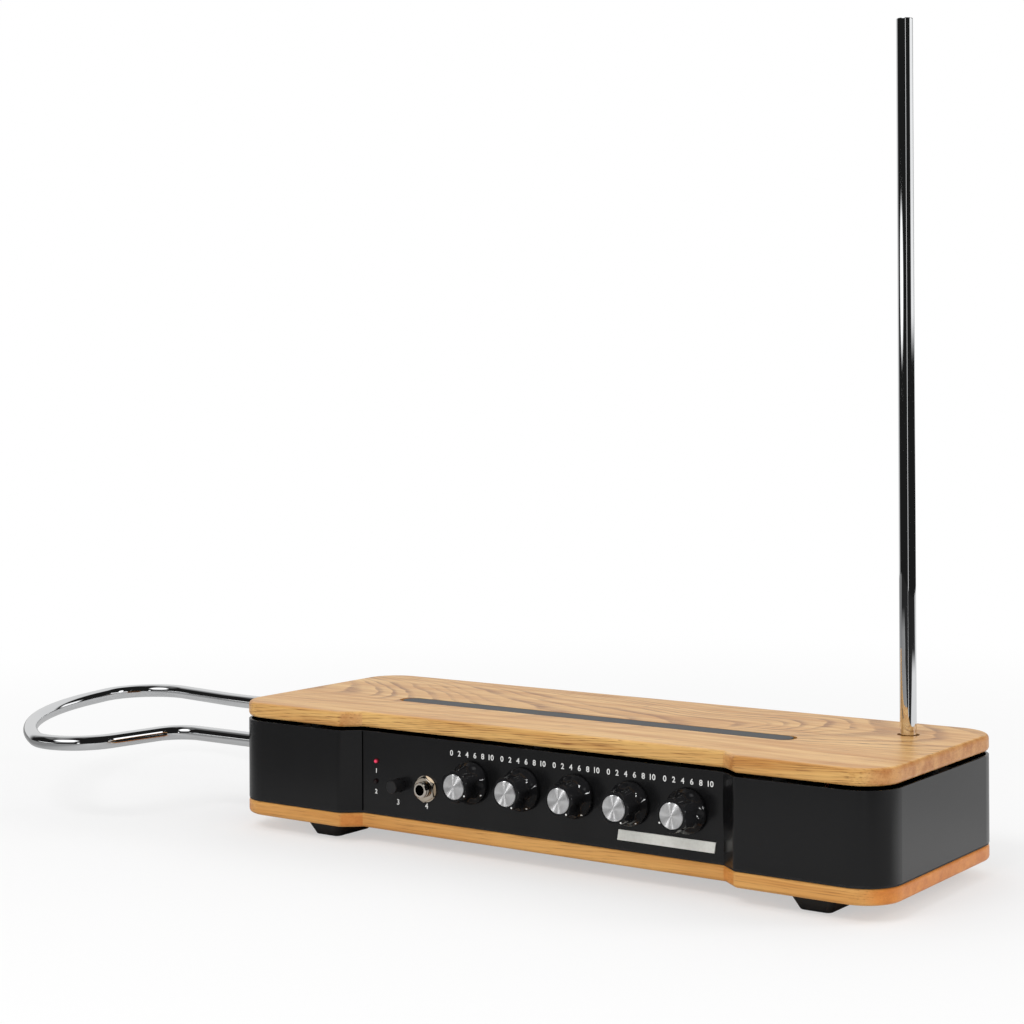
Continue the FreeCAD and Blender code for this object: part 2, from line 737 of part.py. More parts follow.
def make_led(place, reach):
    x, z = place
    lens_front = PANEL_FACE - LED_DOME_OUT
    lens = rod(LED_RADIUS, (x, PANEL_INNER + LED_LENS_BACK, z), (x, lens_front, z))
    dome = Part.makeSphere(LED_RADIUS, V(x, lens_front, z))
    legs = []
    for side in (-LED_LEG_OFFSET, LED_LEG_OFFSET):
        back = PANEL_INNER + reach + side
        leg_x = (x + side - LED_LEG_HALF, x + side + LED_LEG_HALF)
        level_z = (z - LED_LEG_HALF, z + LED_LEG_HALF)
        legs.append(block(leg_x, (PANEL_INNER + LED_LEG_START, back), level_z))
        legs.append(block(leg_x, (back - 2 * LED_LEG_HALF, back), (BOARD_TOP, z + LED_LEG_HALF)))
    return fuse_all([lens, dome] + legs)


def make_mute_button():
    x, z = MUTE_PLACE
    front = PANEL_FACE - MUTE_OUT
    button = rod(MUTE_RADIUS, (x, front, z), (x, PANEL_INNER + MUTE_SKIRT, z))
    rim = [edge for edge in button.Edges if edge.BoundBox.YMax < front + 0.01]
    button = button.makeFillet(MUTE_EDGE, rim[:1])
    stem = rod(MUTE_STEM_RADIUS, (x, PANEL_INNER + OVERRUN, z), (x, PANEL_INNER + MUTE_STEM_END, z))
    return button.fuse(stem).removeSplitter()


def make_mute_switch():
    x, z = MUTE_PLACE
    half = MUTE_SWITCH_HALF
    front = PANEL_INNER + MUTE_SWITCH_FRONT
    case = block((x - half, x + half), (front, front + MUTE_SWITCH_DEPTH), (BOARD_TOP, z + half))
    well_end = PANEL_INNER + MUTE_STEM_END + MUTE_TRAVEL + STEM_END_GAP
    return case.cut(rod(MUTE_STEM_RADIUS + RUNNING_GAP, (x, front - OVERRUN, z), (x, well_end, z)))


def threaded_bush(out):
    """Bush on the Y axis from inside the sheet to its mouth, with ring grooves as a thread."""
    start = -SHEET - OVERRUN
    thread_end = out - BUSH_CHAMFER
    profile = [(0, start), (JACK_BUSH_RADIUS, start)]
    for index in range(THREADS):
        low = thread_end - (THREADS - index) * THREAD_PITCH
        profile.append((JACK_BUSH_RADIUS, low))
        profile.append((JACK_BUSH_RADIUS - THREAD_DEPTH, low + THREAD_PITCH / 2))
    profile.append((JACK_BUSH_RADIUS, thread_end))
    profile.append((JACK_BUSH_RADIUS - BUSH_CHAMFER, out))
    profile.append((0, out))
    return turned(profile)


def jack(out, drop):
    """Quarter-inch socket on the Y axis, the sheet's outer face at y = 0."""
    half = JACK_CASE_WIDTH / 2
    back = SHEET + JACK_CASE_DEPTH
    case = block((-half, half), (SHEET, back), (-drop, half))
    bore = rod(JACK_BORE, (0, -out - OVERRUN, 0), (0, back - JACK_WALL, 0))
    return fuse_all([case, threaded_bush(out)]).cut(bore)


def jack_nut():
    """Washer seated at y = 0 with the nut on it."""
    bore = JACK_BUSH_RADIUS + RUNNING_GAP
    washer = sleeve(JACK_WASHER_RADIUS, bore, (0, 0, 0), (0, -JACK_WASHER_HEIGHT, 0))
    nut = hex_nut(JACK_NUT_ACROSS, JACK_NUT_HEIGHT, bore)
    nut.translate(Y_AXIS * -JACK_WASHER_HEIGHT)
    return Part.makeCompound([washer, nut])


def make_phones_jack():
    x, z = JACK_PLACE
    return place_on_panel(jack(JACK_BUSH_OUT, z - BOARD_TOP), x, z)


def make_phones_jack_nut():
    x, z = JACK_PLACE
    return place_on_panel(jack_nut(), x, z)


# ---- rear panel ---------------------------------------------------------------------

def place_on_rear(shape, x):
    """Turn a body made for the front to face backwards, and set it on the rear panel."""
    shape.rotate(V(0, 0, 0), Z_AXIS, 180)
    shape.translate(V(x, REAR_PANEL_OUT, REAR_JACK_Z))
    return shape


def make_rear_panel():
    panel = block((-REAR_PANEL_X, REAR_PANEL_X), (REAR_PANEL_IN, REAR_PANEL_OUT), REAR_PANEL_Z)
    inside = REAR_PANEL_IN - OVERRUN
    outside = REAR_PANEL_OUT + OVERRUN
    round_holes = [(INLET_X, REAR_JACK_Z, INLET_RADIUS + HOLE_GAP)]
    for x in REAR_JACKS_X:
        round_holes.append((x, REAR_JACK_Z, JACK_BUSH_RADIUS + HOLE_GAP))
    for x, z in REAR_SCREW_PLACES:
        round_holes.append((x, z, SCREW_RADIUS + PILOT_GAP))
    holes = [rod(radius, (x, inside, z), (x, outside, z)) for x, z, radius in round_holes]
    holes.append(switch_block(SWITCH_HALF[0] + SWITCH_GAP, SWITCH_HALF[1] + SWITCH_GAP, (inside, outside)))
    return panel.cut(holes)


def make_rear_panel_screws():
    screws = []
    for x, z in REAR_SCREW_PLACES:
        screws.append(pan_screw((x, HALF_DEPTH, z), (x, HALF_DEPTH - REAR_SCREW_LENGTH, z)))
    return Part.makeCompound(screws)


def make_rear_jacks():
    drop = JACK_CASE_WIDTH / 2
    return Part.makeCompound([place_on_rear(jack(REAR_JACK_OUT, drop), x) for x in REAR_JACKS_X])


def make_rear_jack_nuts():
    return Part.makeCompound([place_on_rear(jack_nut(), x) for x in REAR_JACKS_X])


def make_dc_inlet():
    z = REAR_JACK_Z
    half_x, half_z = INLET_CASE_HALF
    back = REAR_PANEL_IN - INLET_DEPTH
    case = block((INLET_X - half_x, INLET_X + half_x), (back, REAR_PANEL_IN), (z - half_z, z + half_z))
    nose = rod(INLET_RADIUS, (INLET_X, REAR_PANEL_IN - OVERRUN, z), (INLET_X, HALF_DEPTH, z))
    barrel = rod(INLET_BORE, (INLET_X, back + INLET_FLOOR, z), (INLET_X, HALF_DEPTH + OVERRUN, z))
    pin_end = HALF_DEPTH - INLET_PIN_SETBACK
    pin = rod(INLET_PIN_RADIUS, (INLET_X, back + INLET_FLOOR - OVERRUN, z), (INLET_X, pin_end, z))
    return fuse_all([case, nose]).cut(barrel).fuse(pin).removeSplitter()


def switch_block(half_x, half_z, y_range):
    """Box centred on the power switch's axis."""
    x_range = (SWITCH_X - half_x, SWITCH_X + half_x)
    return block(x_range, y_range, (REAR_JACK_Z - half_z, REAR_JACK_Z + half_z))


def pivot(radius, reach):
    """Upright cylinder on the rocker's axis, past the rocker by the reach at both ends."""
    half = ROCKER_HALF[1] + reach
    low = (SWITCH_X, REAR_PANEL_OUT, REAR_JACK_Z - half)
    return rod(radius, low, (SWITCH_X, REAR_PANEL_OUT, REAR_JACK_Z + half))


def make_power_switch():
    front = REAR_PANEL_OUT + BEZEL_THICKNESS
    bezel = switch_block(BEZEL_HALF[0], BEZEL_HALF[1], (REAR_PANEL_OUT, front))
    case = switch_block(SWITCH_HALF[0], SWITCH_HALF[1], (REAR_PANEL_OUT - SWITCH_DEPTH, front))
    well_x = ROCKER_HALF[0] + WELL_GAP[0]
    well_z = ROCKER_HALF[1] + WELL_GAP[1]
    well = switch_block(well_x, well_z, (REAR_PANEL_OUT - WELL_DEPTH, front + OVERRUN))
    return fuse_all([bezel, case]).cut([well, pivot(PIVOT_BORE, PIVOT_BORE_REACH)])


def make_power_rocker():
    half_x, half_z = ROCKER_HALF
    side = [
        (-half_x, ROCKER_END_OUT),
        (0, ROCKER_WAIST_OUT),
        (half_x, ROCKER_END_OUT),
        (half_x - ROCKER_SIDE_DRAFT, -ROCKER_SIDE_IN),
        (ROCKER_NOSE_HALF, -ROCKER_NOSE_IN),
        (-ROCKER_NOSE_HALF, -ROCKER_NOSE_IN),
        (-half_x + ROCKER_SIDE_DRAFT, -ROCKER_SIDE_IN),
    ]
    points = [(SWITCH_X + u, REAR_PANEL_OUT + v, REAR_JACK_Z - half_z) for u, v in side]
    rocker = polygon_face(points).extrude(Z_AXIS * (2 * half_z))
    rocker = rocker.fuse(pivot(PIVOT_RADIUS, PIVOT_REACH)).removeSplitter()
    rocker.rotate(V(SWITCH_X, REAR_PANEL_OUT, REAR_JACK_Z), Z_AXIS, ROCKER_TILT)
    return rocker


# ---- circuit board ------------------------------------------------------------------

def make_main_board():
    board = block(BOARD_X, BOARD_Y, (BOARD_TOP - BOARD_THICKNESS, BOARD_TOP))
    for x, y in STANDOFF_PLACES:
        low = (x, y, BOARD_TOP - BOARD_THICKNESS - OVERRUN)
        board = board.cut(rod(SCREW_HOLE, low, (x, y, BOARD_TOP + OVERRUN)))
    return board


def make_board_standoffs():
    top = BOARD_TOP - BOARD_THICKNESS
    bore = SCREW_RADIUS + PILOT_GAP
    posts = []
    for x, y in STANDOFF_PLACES:
        posts.append(sleeve(STANDOFF_RADIUS, bore, (x, y, PLATE_THICKNESS), (x, y, top)))
    return Part.makeCompound(posts)


def make_board_screws():
    screws = []
    for x, y in STANDOFF_PLACES:
        screws.append(pan_screw((x, y, BOARD_TOP), (x, y, PLATE_THICKNESS + BOARD_SCREW_TIP)))
    return Part.makeCompound(screws)


def make_ic_packages():
    packages = []
    for x in IC_PLACES_X:
        x_range = (x - IC_HALF_LENGTH, x + IC_HALF_LENGTH)
        packages.append(block(x_range, IC_Y, (BOARD_TOP, BOARD_TOP + IC_HEIGHT)))
    return Part.makeCompound(packages)


def make_filter_capacitors():
    cans = []
    for x in CAPACITOR_PLACES_X:
        foot = (x, CAPACITOR_Y, BOARD_TOP)
        cans.append(rod(CAPACITOR_RADIUS, foot, (x, CAPACITOR_Y, BOARD_TOP + CAPACITOR_HEIGHT)))
    return Part.makeCompound(cans)


def make_oscillator_coils():
    top = BOARD_TOP + COIL_HEIGHT
    cans = []
    for x in COIL_PLACES_X:
        y_range = (COIL_Y - COIL_HALF, COIL_Y + COIL_HALF)
        can = block((x - COIL_HALF, x + COIL_HALF), y_range, (BOARD_TOP, top))
        core = rod(COIL_CORE_RADIUS, (x, COIL_Y, top - COIL_CORE_DEPTH), (x, COIL_Y, top + OVERRUN))
        cans.append(can.cut(core))
    return Part.makeCompound(cans)


def choke(x_start, y):
    """Wound choke lying on the board: bobbin flanges with the winding between."""
    x_end = x_start + CHOKE_LENGTH
    z = BOARD_TOP + CHOKE_FLANGE_RADIUS
    winding = rod(CHOKE_RADIUS, (x_start, y, z), (x_end, y, z))
    flange_a = rod(CHOKE_FLANGE_RADIUS, (x_start, y, z), (x_start + CHOKE_FLANGE_WIDTH, y, z))
    flange_b = rod(CHOKE_FLANGE_RADIUS, (x_end - CHOKE_FLANGE_WIDTH, y, z), (x_end, y, z))
    return fuse_all([winding, flange_a, flange_b])


def make_chokes(row):
    """Row of chokes, given as its start, its y and how many there are."""
    start, y, count = row
    return Part.makeCompound([choke(start + CHOKE_PITCH * index, y) for index in range(count)])


# ---- antennas -----------------------------------------------------------------------

def loop_edges():
    """Edges of the loop's centre line, and the point and heading where it ends."""
    point = V(-HALF_WIDTH, LOOP_FRONT_Y, LOOP_Z)
    heading = 180.0
    edges = []
    for piece in LOOP_PATH:
        forward = V(math.cos(math.radians(heading)), math.sin(math.radians(heading)), 0)
        if piece[0] == "straight":
            end = point + forward * piece[1]
            edges.append(Part.LineSegment(point, end).toShape())
            point = end
            continue
        side = 1 if piece[0] == "left" else -1
        radius, turn = piece[1], piece[2]
        centre = point + V(-forward.y, forward.x, 0) * (side * radius)
        spoke = point - centre
        middle = centre + turned_level(spoke, side * turn / 2)
        end = centre + turned_level(spoke, side * turn)
        edges.append(Part.Arc(point, middle, end).toShape())
        point = end
        heading += side * turn
    return edges, point


def turned_level(vector, degrees):
    """Vector turned about Z."""
    angle = math.radians(degrees)
    x = vector.x * math.cos(angle) - vector.y * math.sin(angle)
    y = vector.x * math.sin(angle) + vector.y * math.cos(angle)
    return V(x, y, vector.z)


def loop_rear_y():
    """Where the rear leg of the loop runs back into the cabinet."""
    return round(loop_edges()[1].y, 3)


def make_volume_antenna():
    middle, loop_end = loop_edges()
    inner_x = LOOP_SOCKET_INNER - SOCKET_END - REST_GAP
    front_start = V(inner_x, LOOP_FRONT_Y, LOOP_Z)
    first = Part.LineSegment(front_start, V(-HALF_WIDTH, LOOP_FRONT_Y, LOOP_Z)).toShape()
    last = Part.LineSegment(loop_end, V(inner_x, loop_end.y, LOOP_Z)).toShape()
    path = Part.Wire([first] + middle + [last])
    swept = []
    for radius in (TUBE_RADIUS, TUBE_RADIUS - TUBE_WALL):
        section = Part.Wire(Part.makeCircle(radius, front_start, X_AXIS))
        swept.append(path.makePipeShell([section], True, True))
    return swept[0].cut(swept[1])


def make_volume_sockets():
    sockets = []
    for y in (LOOP_FRONT_Y, loop_rear_y()):
        closed = rod(SOCKET_RADIUS, (LOOP_SOCKET_OUTER, y, LOOP_Z), (LOOP_SOCKET_INNER, y, LOOP_Z))
        bore_start = (LOOP_SOCKET_OUTER - OVERRUN, y, LOOP_Z)
        bore_end = (LOOP_SOCKET_INNER - SOCKET_END, y, LOOP_Z)
        sockets.append(closed.cut(rod(SOCKET_BORE, bore_start, bore_end)))
    return Part.makeCompound(sockets)


def make_pitch_antenna():
    bottom = (PITCH_X, PITCH_Y, PITCH_SOCKET_BOTTOM + SOCKET_END + REST_GAP)
    top = (PITCH_X, PITCH_Y, TOP_PLATE_TOP + PITCH_RISE)
    return sleeve(TUBE_RADIUS, TUBE_RADIUS - TUBE_WALL, bottom, top)


def make_antenna_plug():
    top = TOP_PLATE_TOP + PITCH_RISE
    radius = TUBE_RADIUS - TUBE_WALL - PRESS_GAP
    return rod(radius, (PITCH_X, PITCH_Y, top - PLUG_LENGTH), (PITCH_X, PITCH_Y, top))


def make_pitch_socket():
    low = (PITCH_X, PITCH_Y, PITCH_SOCKET_BOTTOM)
    closed = rod(SOCKET_RADIUS, low, (PITCH_X, PITCH_Y, PITCH_SOCKET_TOP))
    bore_start = (PITCH_X, PITCH_Y, PITCH_SOCKET_BOTTOM + SOCKET_END)
    return closed.cut(rod(SOCKET_BORE, bore_start, (PITCH_X, PITCH_Y, PITCH_SOCKET_TOP + OVERRUN)))


def make_socket_blocks():
    radius = SOCKET_RADIUS + PRESS_GAP
    blocks = []
    for y in (LOOP_FRONT_Y, loop_rear_y()):
        body = block(LOOP_BLOCK_X, (y - BLOCK_HALF, y + BLOCK_HALF), (PLATE_THICKNESS, LOOP_BLOCK_TOP))
        bore_start = (LOOP_BLOCK_X[0] - OVERRUN, y, LOOP_Z)
        bore_end = (LOOP_BLOCK_X[1] + OVERRUN, y, LOOP_Z)
        blocks.append(body.cut(rod(radius, bore_start, bore_end)))
    x_range = (PITCH_X - PITCH_BLOCK_HALF, PITCH_X + PITCH_BLOCK_HALF)
    y_range = (PITCH_Y - PITCH_BLOCK_HALF, PITCH_Y + PITCH_BLOCK_HALF)
    body = block(x_range, y_range, (PLATE_THICKNESS, PITCH_BLOCK_TOP))
    bore_end = (PITCH_X, PITCH_Y, PITCH_BLOCK_TOP + OVERRUN)
    blocks.append(body.cut(rod(radius, (PITCH_X, PITCH_Y, PITCH_SOCKET_BOTTOM), bore_end)))
    return Part.makeCompound(blocks)


def lead(start, bends):
    """Insulated lead: level runs joined by tangent arcs, then straight down to the board."""
    level = start[2]
    points = [start] + [(x, y, level) for x, y in bends]
    points.append((bends[-1][0], bends[-1][1], BOARD_TOP))
    route = [V(*point) for point in points]
    edges = []
    start = route[0]
    for before, corner, after in zip(route, route[1:], route[2:]):
        to_before = (before - corner).normalize()
        to_after = (after - corner).normalize()
        half_angle = to_before.getAngle(to_after) / 2
        inward = (to_before + to_after).normalize()
        reach = LEAD_BEND / math.tan(half_angle)
        centre = corner + inward * (LEAD_BEND / math.sin(half_angle))
        arc_start = corner + to_before * reach
        arc_end = corner + to_after * reach
        edges.append(Part.LineSegment(start, arc_start).toShape())
        edges.append(Part.Arc(arc_start, centre - inward * LEAD_BEND, arc_end).toShape())
        start = arc_end
    edges.append(Part.LineSegment(start, route[-1]).toShape())
    section = Part.Wire(Part.makeCircle(LEAD_RADIUS, route[0], route[1] - route[0]))
    return Part.Wire(edges).makePipeShell([section], True, True)


def make_pitch_lead():
    return lead((PITCH_X - SOCKET_RADIUS, PITCH_Y, PITCH_LEAD_Z), PITCH_LEAD_BENDS)


def make_volume_lead():
    return lead((LOOP_SOCKET_INNER, LOOP_FRONT_Y, LOOP_Z), VOLUME_LEAD_BENDS)


# ---- export -------------------------------------------------------------------------

def build_nodes():
    """Node name to its shape, for the whole assembly."""
    nodes = {
        "top_plate": make_top_plate(),
        "bottom_plate": make_bottom_plate(),
        "inlay_strip": make_inlay_strip(),
        "body_wrap": make_body_wrap(),
        "top_spacers": make_top_spacers(),
        "top_screws": make_top_screws(),
        "base_screws": make_base_screws(),
        "stand_flange": make_stand_flange(),
        "flange_screws": make_flange_screws(),
        "name_plate": make_name_plate(),
        "potentiometers": make_potentiometers(),
        "pot_nuts": make_pot_nuts(),
        "power_led": make_led(POWER_LED, POWER_LED_REACH),
        "mute_led": make_led(MUTE_LED, MUTE_LED_REACH),
        "mute_button": make_mute_button(),
        "mute_switch": make_mute_switch(),
        "phones_jack": make_phones_jack(),
        "phones_jack_nut": make_phones_jack_nut(),
        "rear_panel": make_rear_panel(),
        "rear_panel_screws": make_rear_panel_screws(),
        "rear_jacks": make_rear_jacks(),
        "rear_jack_nuts": make_rear_jack_nuts(),
        "dc_inlet": make_dc_inlet(),
        "power_switch": make_power_switch(),
        "power_rocker": make_power_rocker(),
        "main_board": make_main_board(),
        "board_standoffs": make_board_standoffs(),
        "board_screws": make_board_screws(),
        "ic_packages": make_ic_packages(),
        "filter_capacitors": make_filter_capacitors(),
        "oscillator_coils": make_oscillator_coils(),
        "pitch_chokes": make_chokes(PITCH_CHOKES),
        "volume_chokes": make_chokes(VOLUME_CHOKES),
        "pitch_antenna": make_pitch_antenna(),
        "antenna_plug": make_antenna_plug(),
        "pitch_socket": make_pitch_socket(),
        "volume_antenna": make_volume_antenna(),
        "volume_sockets": make_volume_sockets(),
        "socket_blocks": make_socket_blocks(),
        "pitch_lead": make_pitch_lead(),
        "volume_lead": make_volume_lead(),
    }
    for name, (x, y) in FOOT_PLACES.items():
        nodes[name] = make_foot(x, y)
    for name, x in knob_positions().items():
        turn = KNOB_TURNS[name]
        nodes["knob_" + name] = make_knob(x, turn)
        nodes["cap_" + name] = make_cap(x, turn)
        nodes["shaft_" + name] = make_shaft(x)
    return nodes


os.makedirs("parts", exist_ok=True)
for node_name, shape in build_nodes().items():
    shape.exportStep("parts/" + node_name + ".step")
    state = "valid" if all(solid.isValid() for solid in shape.Solids) else "INVALID"
    print(node_name, len(shape.Solids), "solids", round(shape.Volume / 1000, 2), "cm3", state)
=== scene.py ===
"""Looks of a theremin: finishes, fine pieces, floor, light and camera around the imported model."""
import math

import bmesh
import bpy
from mathutils import Matrix, Vector


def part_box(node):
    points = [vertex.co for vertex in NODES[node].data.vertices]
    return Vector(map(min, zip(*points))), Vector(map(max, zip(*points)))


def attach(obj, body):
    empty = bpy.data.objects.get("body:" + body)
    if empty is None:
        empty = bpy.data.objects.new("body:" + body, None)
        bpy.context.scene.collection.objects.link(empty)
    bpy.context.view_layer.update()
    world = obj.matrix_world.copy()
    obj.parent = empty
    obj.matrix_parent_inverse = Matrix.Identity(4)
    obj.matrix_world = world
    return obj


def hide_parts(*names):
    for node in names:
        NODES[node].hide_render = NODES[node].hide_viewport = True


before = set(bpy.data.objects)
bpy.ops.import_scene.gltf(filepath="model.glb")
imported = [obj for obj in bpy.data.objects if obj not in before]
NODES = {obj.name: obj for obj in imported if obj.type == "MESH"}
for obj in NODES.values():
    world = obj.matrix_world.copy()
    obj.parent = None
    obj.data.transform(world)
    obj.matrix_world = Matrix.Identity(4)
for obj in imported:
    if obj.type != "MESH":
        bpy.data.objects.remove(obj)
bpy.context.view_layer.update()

MM = 0.001

# Plane of the front panel, and heights of the folded sheet's foot and top, in millimetres.
PANEL_FACE = -70.0
SHEET_FOOT = 10.1
SHEET_TOP = 60.1

# How far each knob's dots stand from straight up, in degrees clockwise.
KNOB_TURNS = {
    "phones": 121.0,
    "volume": 150.0,
    "pitch": 144.0,
    "waveform": 149.0,
    "brightness": -121.0,
}
KNOB_NAMES = tuple(KNOB_TURNS)

# ---- places taken from the frame, in metres ------------------------------------------

FLOOR_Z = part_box("foot_front_left")[0].z
PANEL_Y = PANEL_FACE * MM


def centre(node):
    """Middle of a node's box."""
    low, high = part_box(node)
    return (low + high) / 2


KNOB_PLACES = {name: centre("cap_" + name) for name in KNOB_NAMES}
ROD_PLACE = centre("pitch_antenna")
# Front right corner of the sheet body, on the level of the origin.
CORNER = Vector((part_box("body_wrap")[1].x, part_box("body_wrap")[0].y, 0.0))


# ---- camera ---------------------------------------------------------------------------

# Solved from the photo: place and clips in metres, angles in degrees, focal length, frame and horizon
# in pixels, and the sensor in millimetres.
CAMERA_PLACE = Vector((0.67683, -1.03711, 0.26152))
CAMERA_YAW = math.radians(35.488)
CAMERA_PITCH = math.radians(-0.126)
CAMERA_ROLL = math.radians(-0.281)
SENSOR = 36.0
FOCAL_PIXELS = 2023.8
FRAME_PIXELS = 1024.0
HORIZON_RISE = 112.0
CLIP_START = 0.05
CLIP_END = 50.0


def camera_axes():
    """Right, up and forward directions of the camera."""
    right = Vector((math.cos(CAMERA_YAW), math.sin(CAMERA_YAW), 0))
    forward = Vector((
        -math.sin(CAMERA_YAW) * math.cos(CAMERA_PITCH),
        math.cos(CAMERA_YAW) * math.cos(CAMERA_PITCH),
        -math.sin(CAMERA_PITCH),
    ))
    up = right.cross(forward)
    tilted_right = right * math.cos(CAMERA_ROLL) + up * math.sin(CAMERA_ROLL)
    tilted_up = up * math.cos(CAMERA_ROLL) - right * math.sin(CAMERA_ROLL)
    return tilted_right, tilted_up, forward


def make_camera():
    """Camera that sees the object as the photo does."""
    data = bpy.data.cameras.new("camera")
    data.sensor_fit = "HORIZONTAL"
    data.sensor_width = SENSOR
    data.lens = FOCAL_PIXELS / FRAME_PIXELS * SENSOR
    data.shift_y = -HORIZON_RISE / FRAME_PIXELS
    data.clip_start = CLIP_START
    data.clip_end = CLIP_END
    camera = bpy.data.objects.new("camera", data)
    bpy.context.scene.collection.objects.link(camera)
    right, up, forward = camera_axes()
    turn = Matrix((right, up, -forward)).transposed()
    camera.matrix_world = Matrix.Translation(CAMERA_PLACE) @ turn.to_4x4()
    bpy.context.scene.camera = camera


# ---- node trees -----------------------------------------------------------------------

WHITE_LIGHT = (1.0, 1.0, 1.0, 1.0)


class Nodes:
    """Short calls that add shader nodes to one tree."""

    def __init__(self, tree):
        self.tree = tree

    def add(self, kind, **settings):
        node = self.tree.nodes.new(kind)
        for key, value in settings.items():
            setattr(node, key, value)
        return node

    def feed(self, socket, value):
        """Link a socket's output into this input, or write a constant on it."""
        if isinstance(value, bpy.types.NodeSocket):
            self.tree.links.new(value, socket)
        elif isinstance(value, tuple) and len(value) == 3 and socket.type == "RGBA":
            socket.default_value = value + (1.0,)
        else:
            socket.default_value = value

    def math(self, operation, *values, clamp=False):
        """Number from an operation on numbers."""
        node = self.add("ShaderNodeMath", operation=operation, use_clamp=clamp)
        for socket, value in zip(node.inputs, values):
            self.feed(socket, value)
        return node.outputs[0]

    def vector(self, operation, *values):
        """Vector from an operation on vectors, or a number where it gives one."""
        node = self.add("ShaderNodeVectorMath", operation=operation)
        for socket, value in zip(node.inputs, values):
            self.feed(socket, value)
        gives_number = operation in ("LENGTH", "DOT_PRODUCT", "DISTANCE")
        return node.outputs[1] if gives_number else node.outputs[0]

    def scaled(self, vector, factors):
        return self.vector("MULTIPLY", vector, factors)

    def split(self, vector):
        node = self.add("ShaderNodeSeparateXYZ")
        self.feed(node.inputs[0], vector)
        return node.outputs[0], node.outputs[1], node.outputs[2]

    def join(self, x, y, z):
        node = self.add("ShaderNodeCombineXYZ")
        for socket, value in zip(node.inputs, (x, y, z)):
            self.feed(socket, value)
        return node.outputs[0]

    def noise(self, vector, scale=1.0, detail=2.0, rough=0.5, colour=False):
        node = self.add("ShaderNodeTexNoise")
        self.feed(node.inputs["Vector"], vector)
        node.inputs["Scale"].default_value = scale
        node.inputs["Detail"].default_value = detail
        node.inputs["Roughness"].default_value = rough
        return node.outputs["Color" if colour else "Fac"]

    def remap(self, value, low, high, to_low=0.0, to_high=1.0, smooth=False):
        """Value carried from the range low to high over to another, and held at its ends."""
        node = self.add("ShaderNodeMapRange", clamp=True)
        node.interpolation_type = "SMOOTHSTEP" if smooth else "LINEAR"
        for socket, number in zip(node.inputs[:5], (value, low, high, to_low, to_high)):
            self.feed(socket, number)
        return node.outputs[0]

    def mix(self, factor, first, second, blend="MIX"):
        node = self.add("ShaderNodeMix", data_type="RGBA", blend_type=blend)
        self.feed(node.inputs["Factor"], factor)
        self.feed(node.inputs[6], first)
        self.feed(node.inputs[7], second)
        return node.outputs[2]

    def ramp(self, value, stops):
        """Grey level that runs straight from stop to stop; a stop is a position and a level."""
        node = self.add("ShaderNodeValToRGB")
        self.feed(node.inputs[0], value)
        band = node.color_ramp
        band.interpolation = "LINEAR"
        while len(band.elements) < len(stops):
            band.elements.new(0.5)
        for element, (position, level) in zip(band.elements, stops):
            element.position = position
            element.color = (level, level, level, 1.0)
        return node.outputs[0]


class Finish(Nodes):
    """One procedural material on the Principled shader, with places in millimetres."""

    def __init__(self, name):
        self.material = bpy.data.materials.new(name)
        self.material.use_nodes = True
        super().__init__(self.material.node_tree)
        self.surface = self.tree.nodes["Principled BSDF"]
        source = self.add("ShaderNodeTexCoord")
        self.place = self.scaled(source.outputs["Object"], (1 / MM, 1 / MM, 1 / MM))

    def set(self, **values):
        """Feed the Principled sockets, named with underscores for spaces."""
        for name, value in values.items():
            self.feed(self.surface.inputs[name.replace("_", " ")], value)

    def bump(self, height, distance_mm, strength):
        """Relief that rises by the distance where the height is one."""
        node = self.add("ShaderNodeBump")
        node.inputs["Strength"].default_value = strength
        node.inputs["Distance"].default_value = distance_mm * MM
        self.feed(node.inputs["Height"], height)
        self.feed(self.surface.inputs["Normal"], node.outputs[0])

    def facing(self):
        """Absolute x, y and z of the surface's own direction."""
        geometry = self.add("ShaderNodeNewGeometry")
        return self.split(self.vector("ABSOLUTE", geometry.outputs["Normal"]))


def srgb(red, green, blue):
    """Linear colour from 0 to 255 screen values, by the standard's curve."""
    out = []
    for value in (red, green, blue):
        share = value / 255
        out.append(share / 12.92 if share <= 0.04045 else ((share + 0.055) / 1.055) ** 2.4)
    return tuple(out)


# ---- wood -----------------------------------------------------------------------------

# Lengths are in millimetres and noise scales per millimetre, with X along the log. A range is
# (from, to) or (from, to, level at from, level at to).
NOISE_MIDDLE = (0.5, 0.5, 0.5)
RING_SPACING = 1.7
RING_UNEVEN_SCALE = 0.12
RING_UNEVEN_SIZE = 4.5
EARLY_BAND = [(0.0, 0.0), (0.08, 1.0), (0.24, 0.8), (0.46, 0.2), (1.0, 0.0)]
SEASON_SCALE = 0.21
SEASON_DEPTH = (0.32, 0.62, 0.4, 1.0)
PATCH_SCALE = (0.016, 0.05, 0.05)
PATCH_DEPTH = (0.36, 0.58, 0.35, 1.0)
SWAY_SCALE = (0.004, 0.007, 0.007)
SWAY_SIZE = (0.0, 13.0, 14.0)
RIPPLE_SCALE = (0.025, 0.05, 0.05)
RIPPLE_SIZE = (0.0, 2.0, 1.4)
HEART_BEND = (40.0, 150.0)
UPRIGHT_FACE = (0.6, 0.9, 1.0, 0.0)
END_FACE = (0.30, 0.80)
END_STRENGTH = 0.85
PLAIN_STRIP = (-34.0, -8.0, 0.65, 0.0)
FIBRE_SCALE = (0.018, 0.75, 0.75)
FIBRE_TONE = (0.25, 0.75, -0.3, 0.3)
FIBRE_GLOSS = (0.2, 0.8, 0.30, 0.42)
FIBRE_RELIEF = 0.5
STREAK_SCALE = (0.008, 0.12, 0.12)
STREAK_TONE = (0.3, 0.7, -0.5, 0.5)
TONE_MIDDLE = 0.40
VESSEL_SCALE = (0.07, 1.3, 1.3)
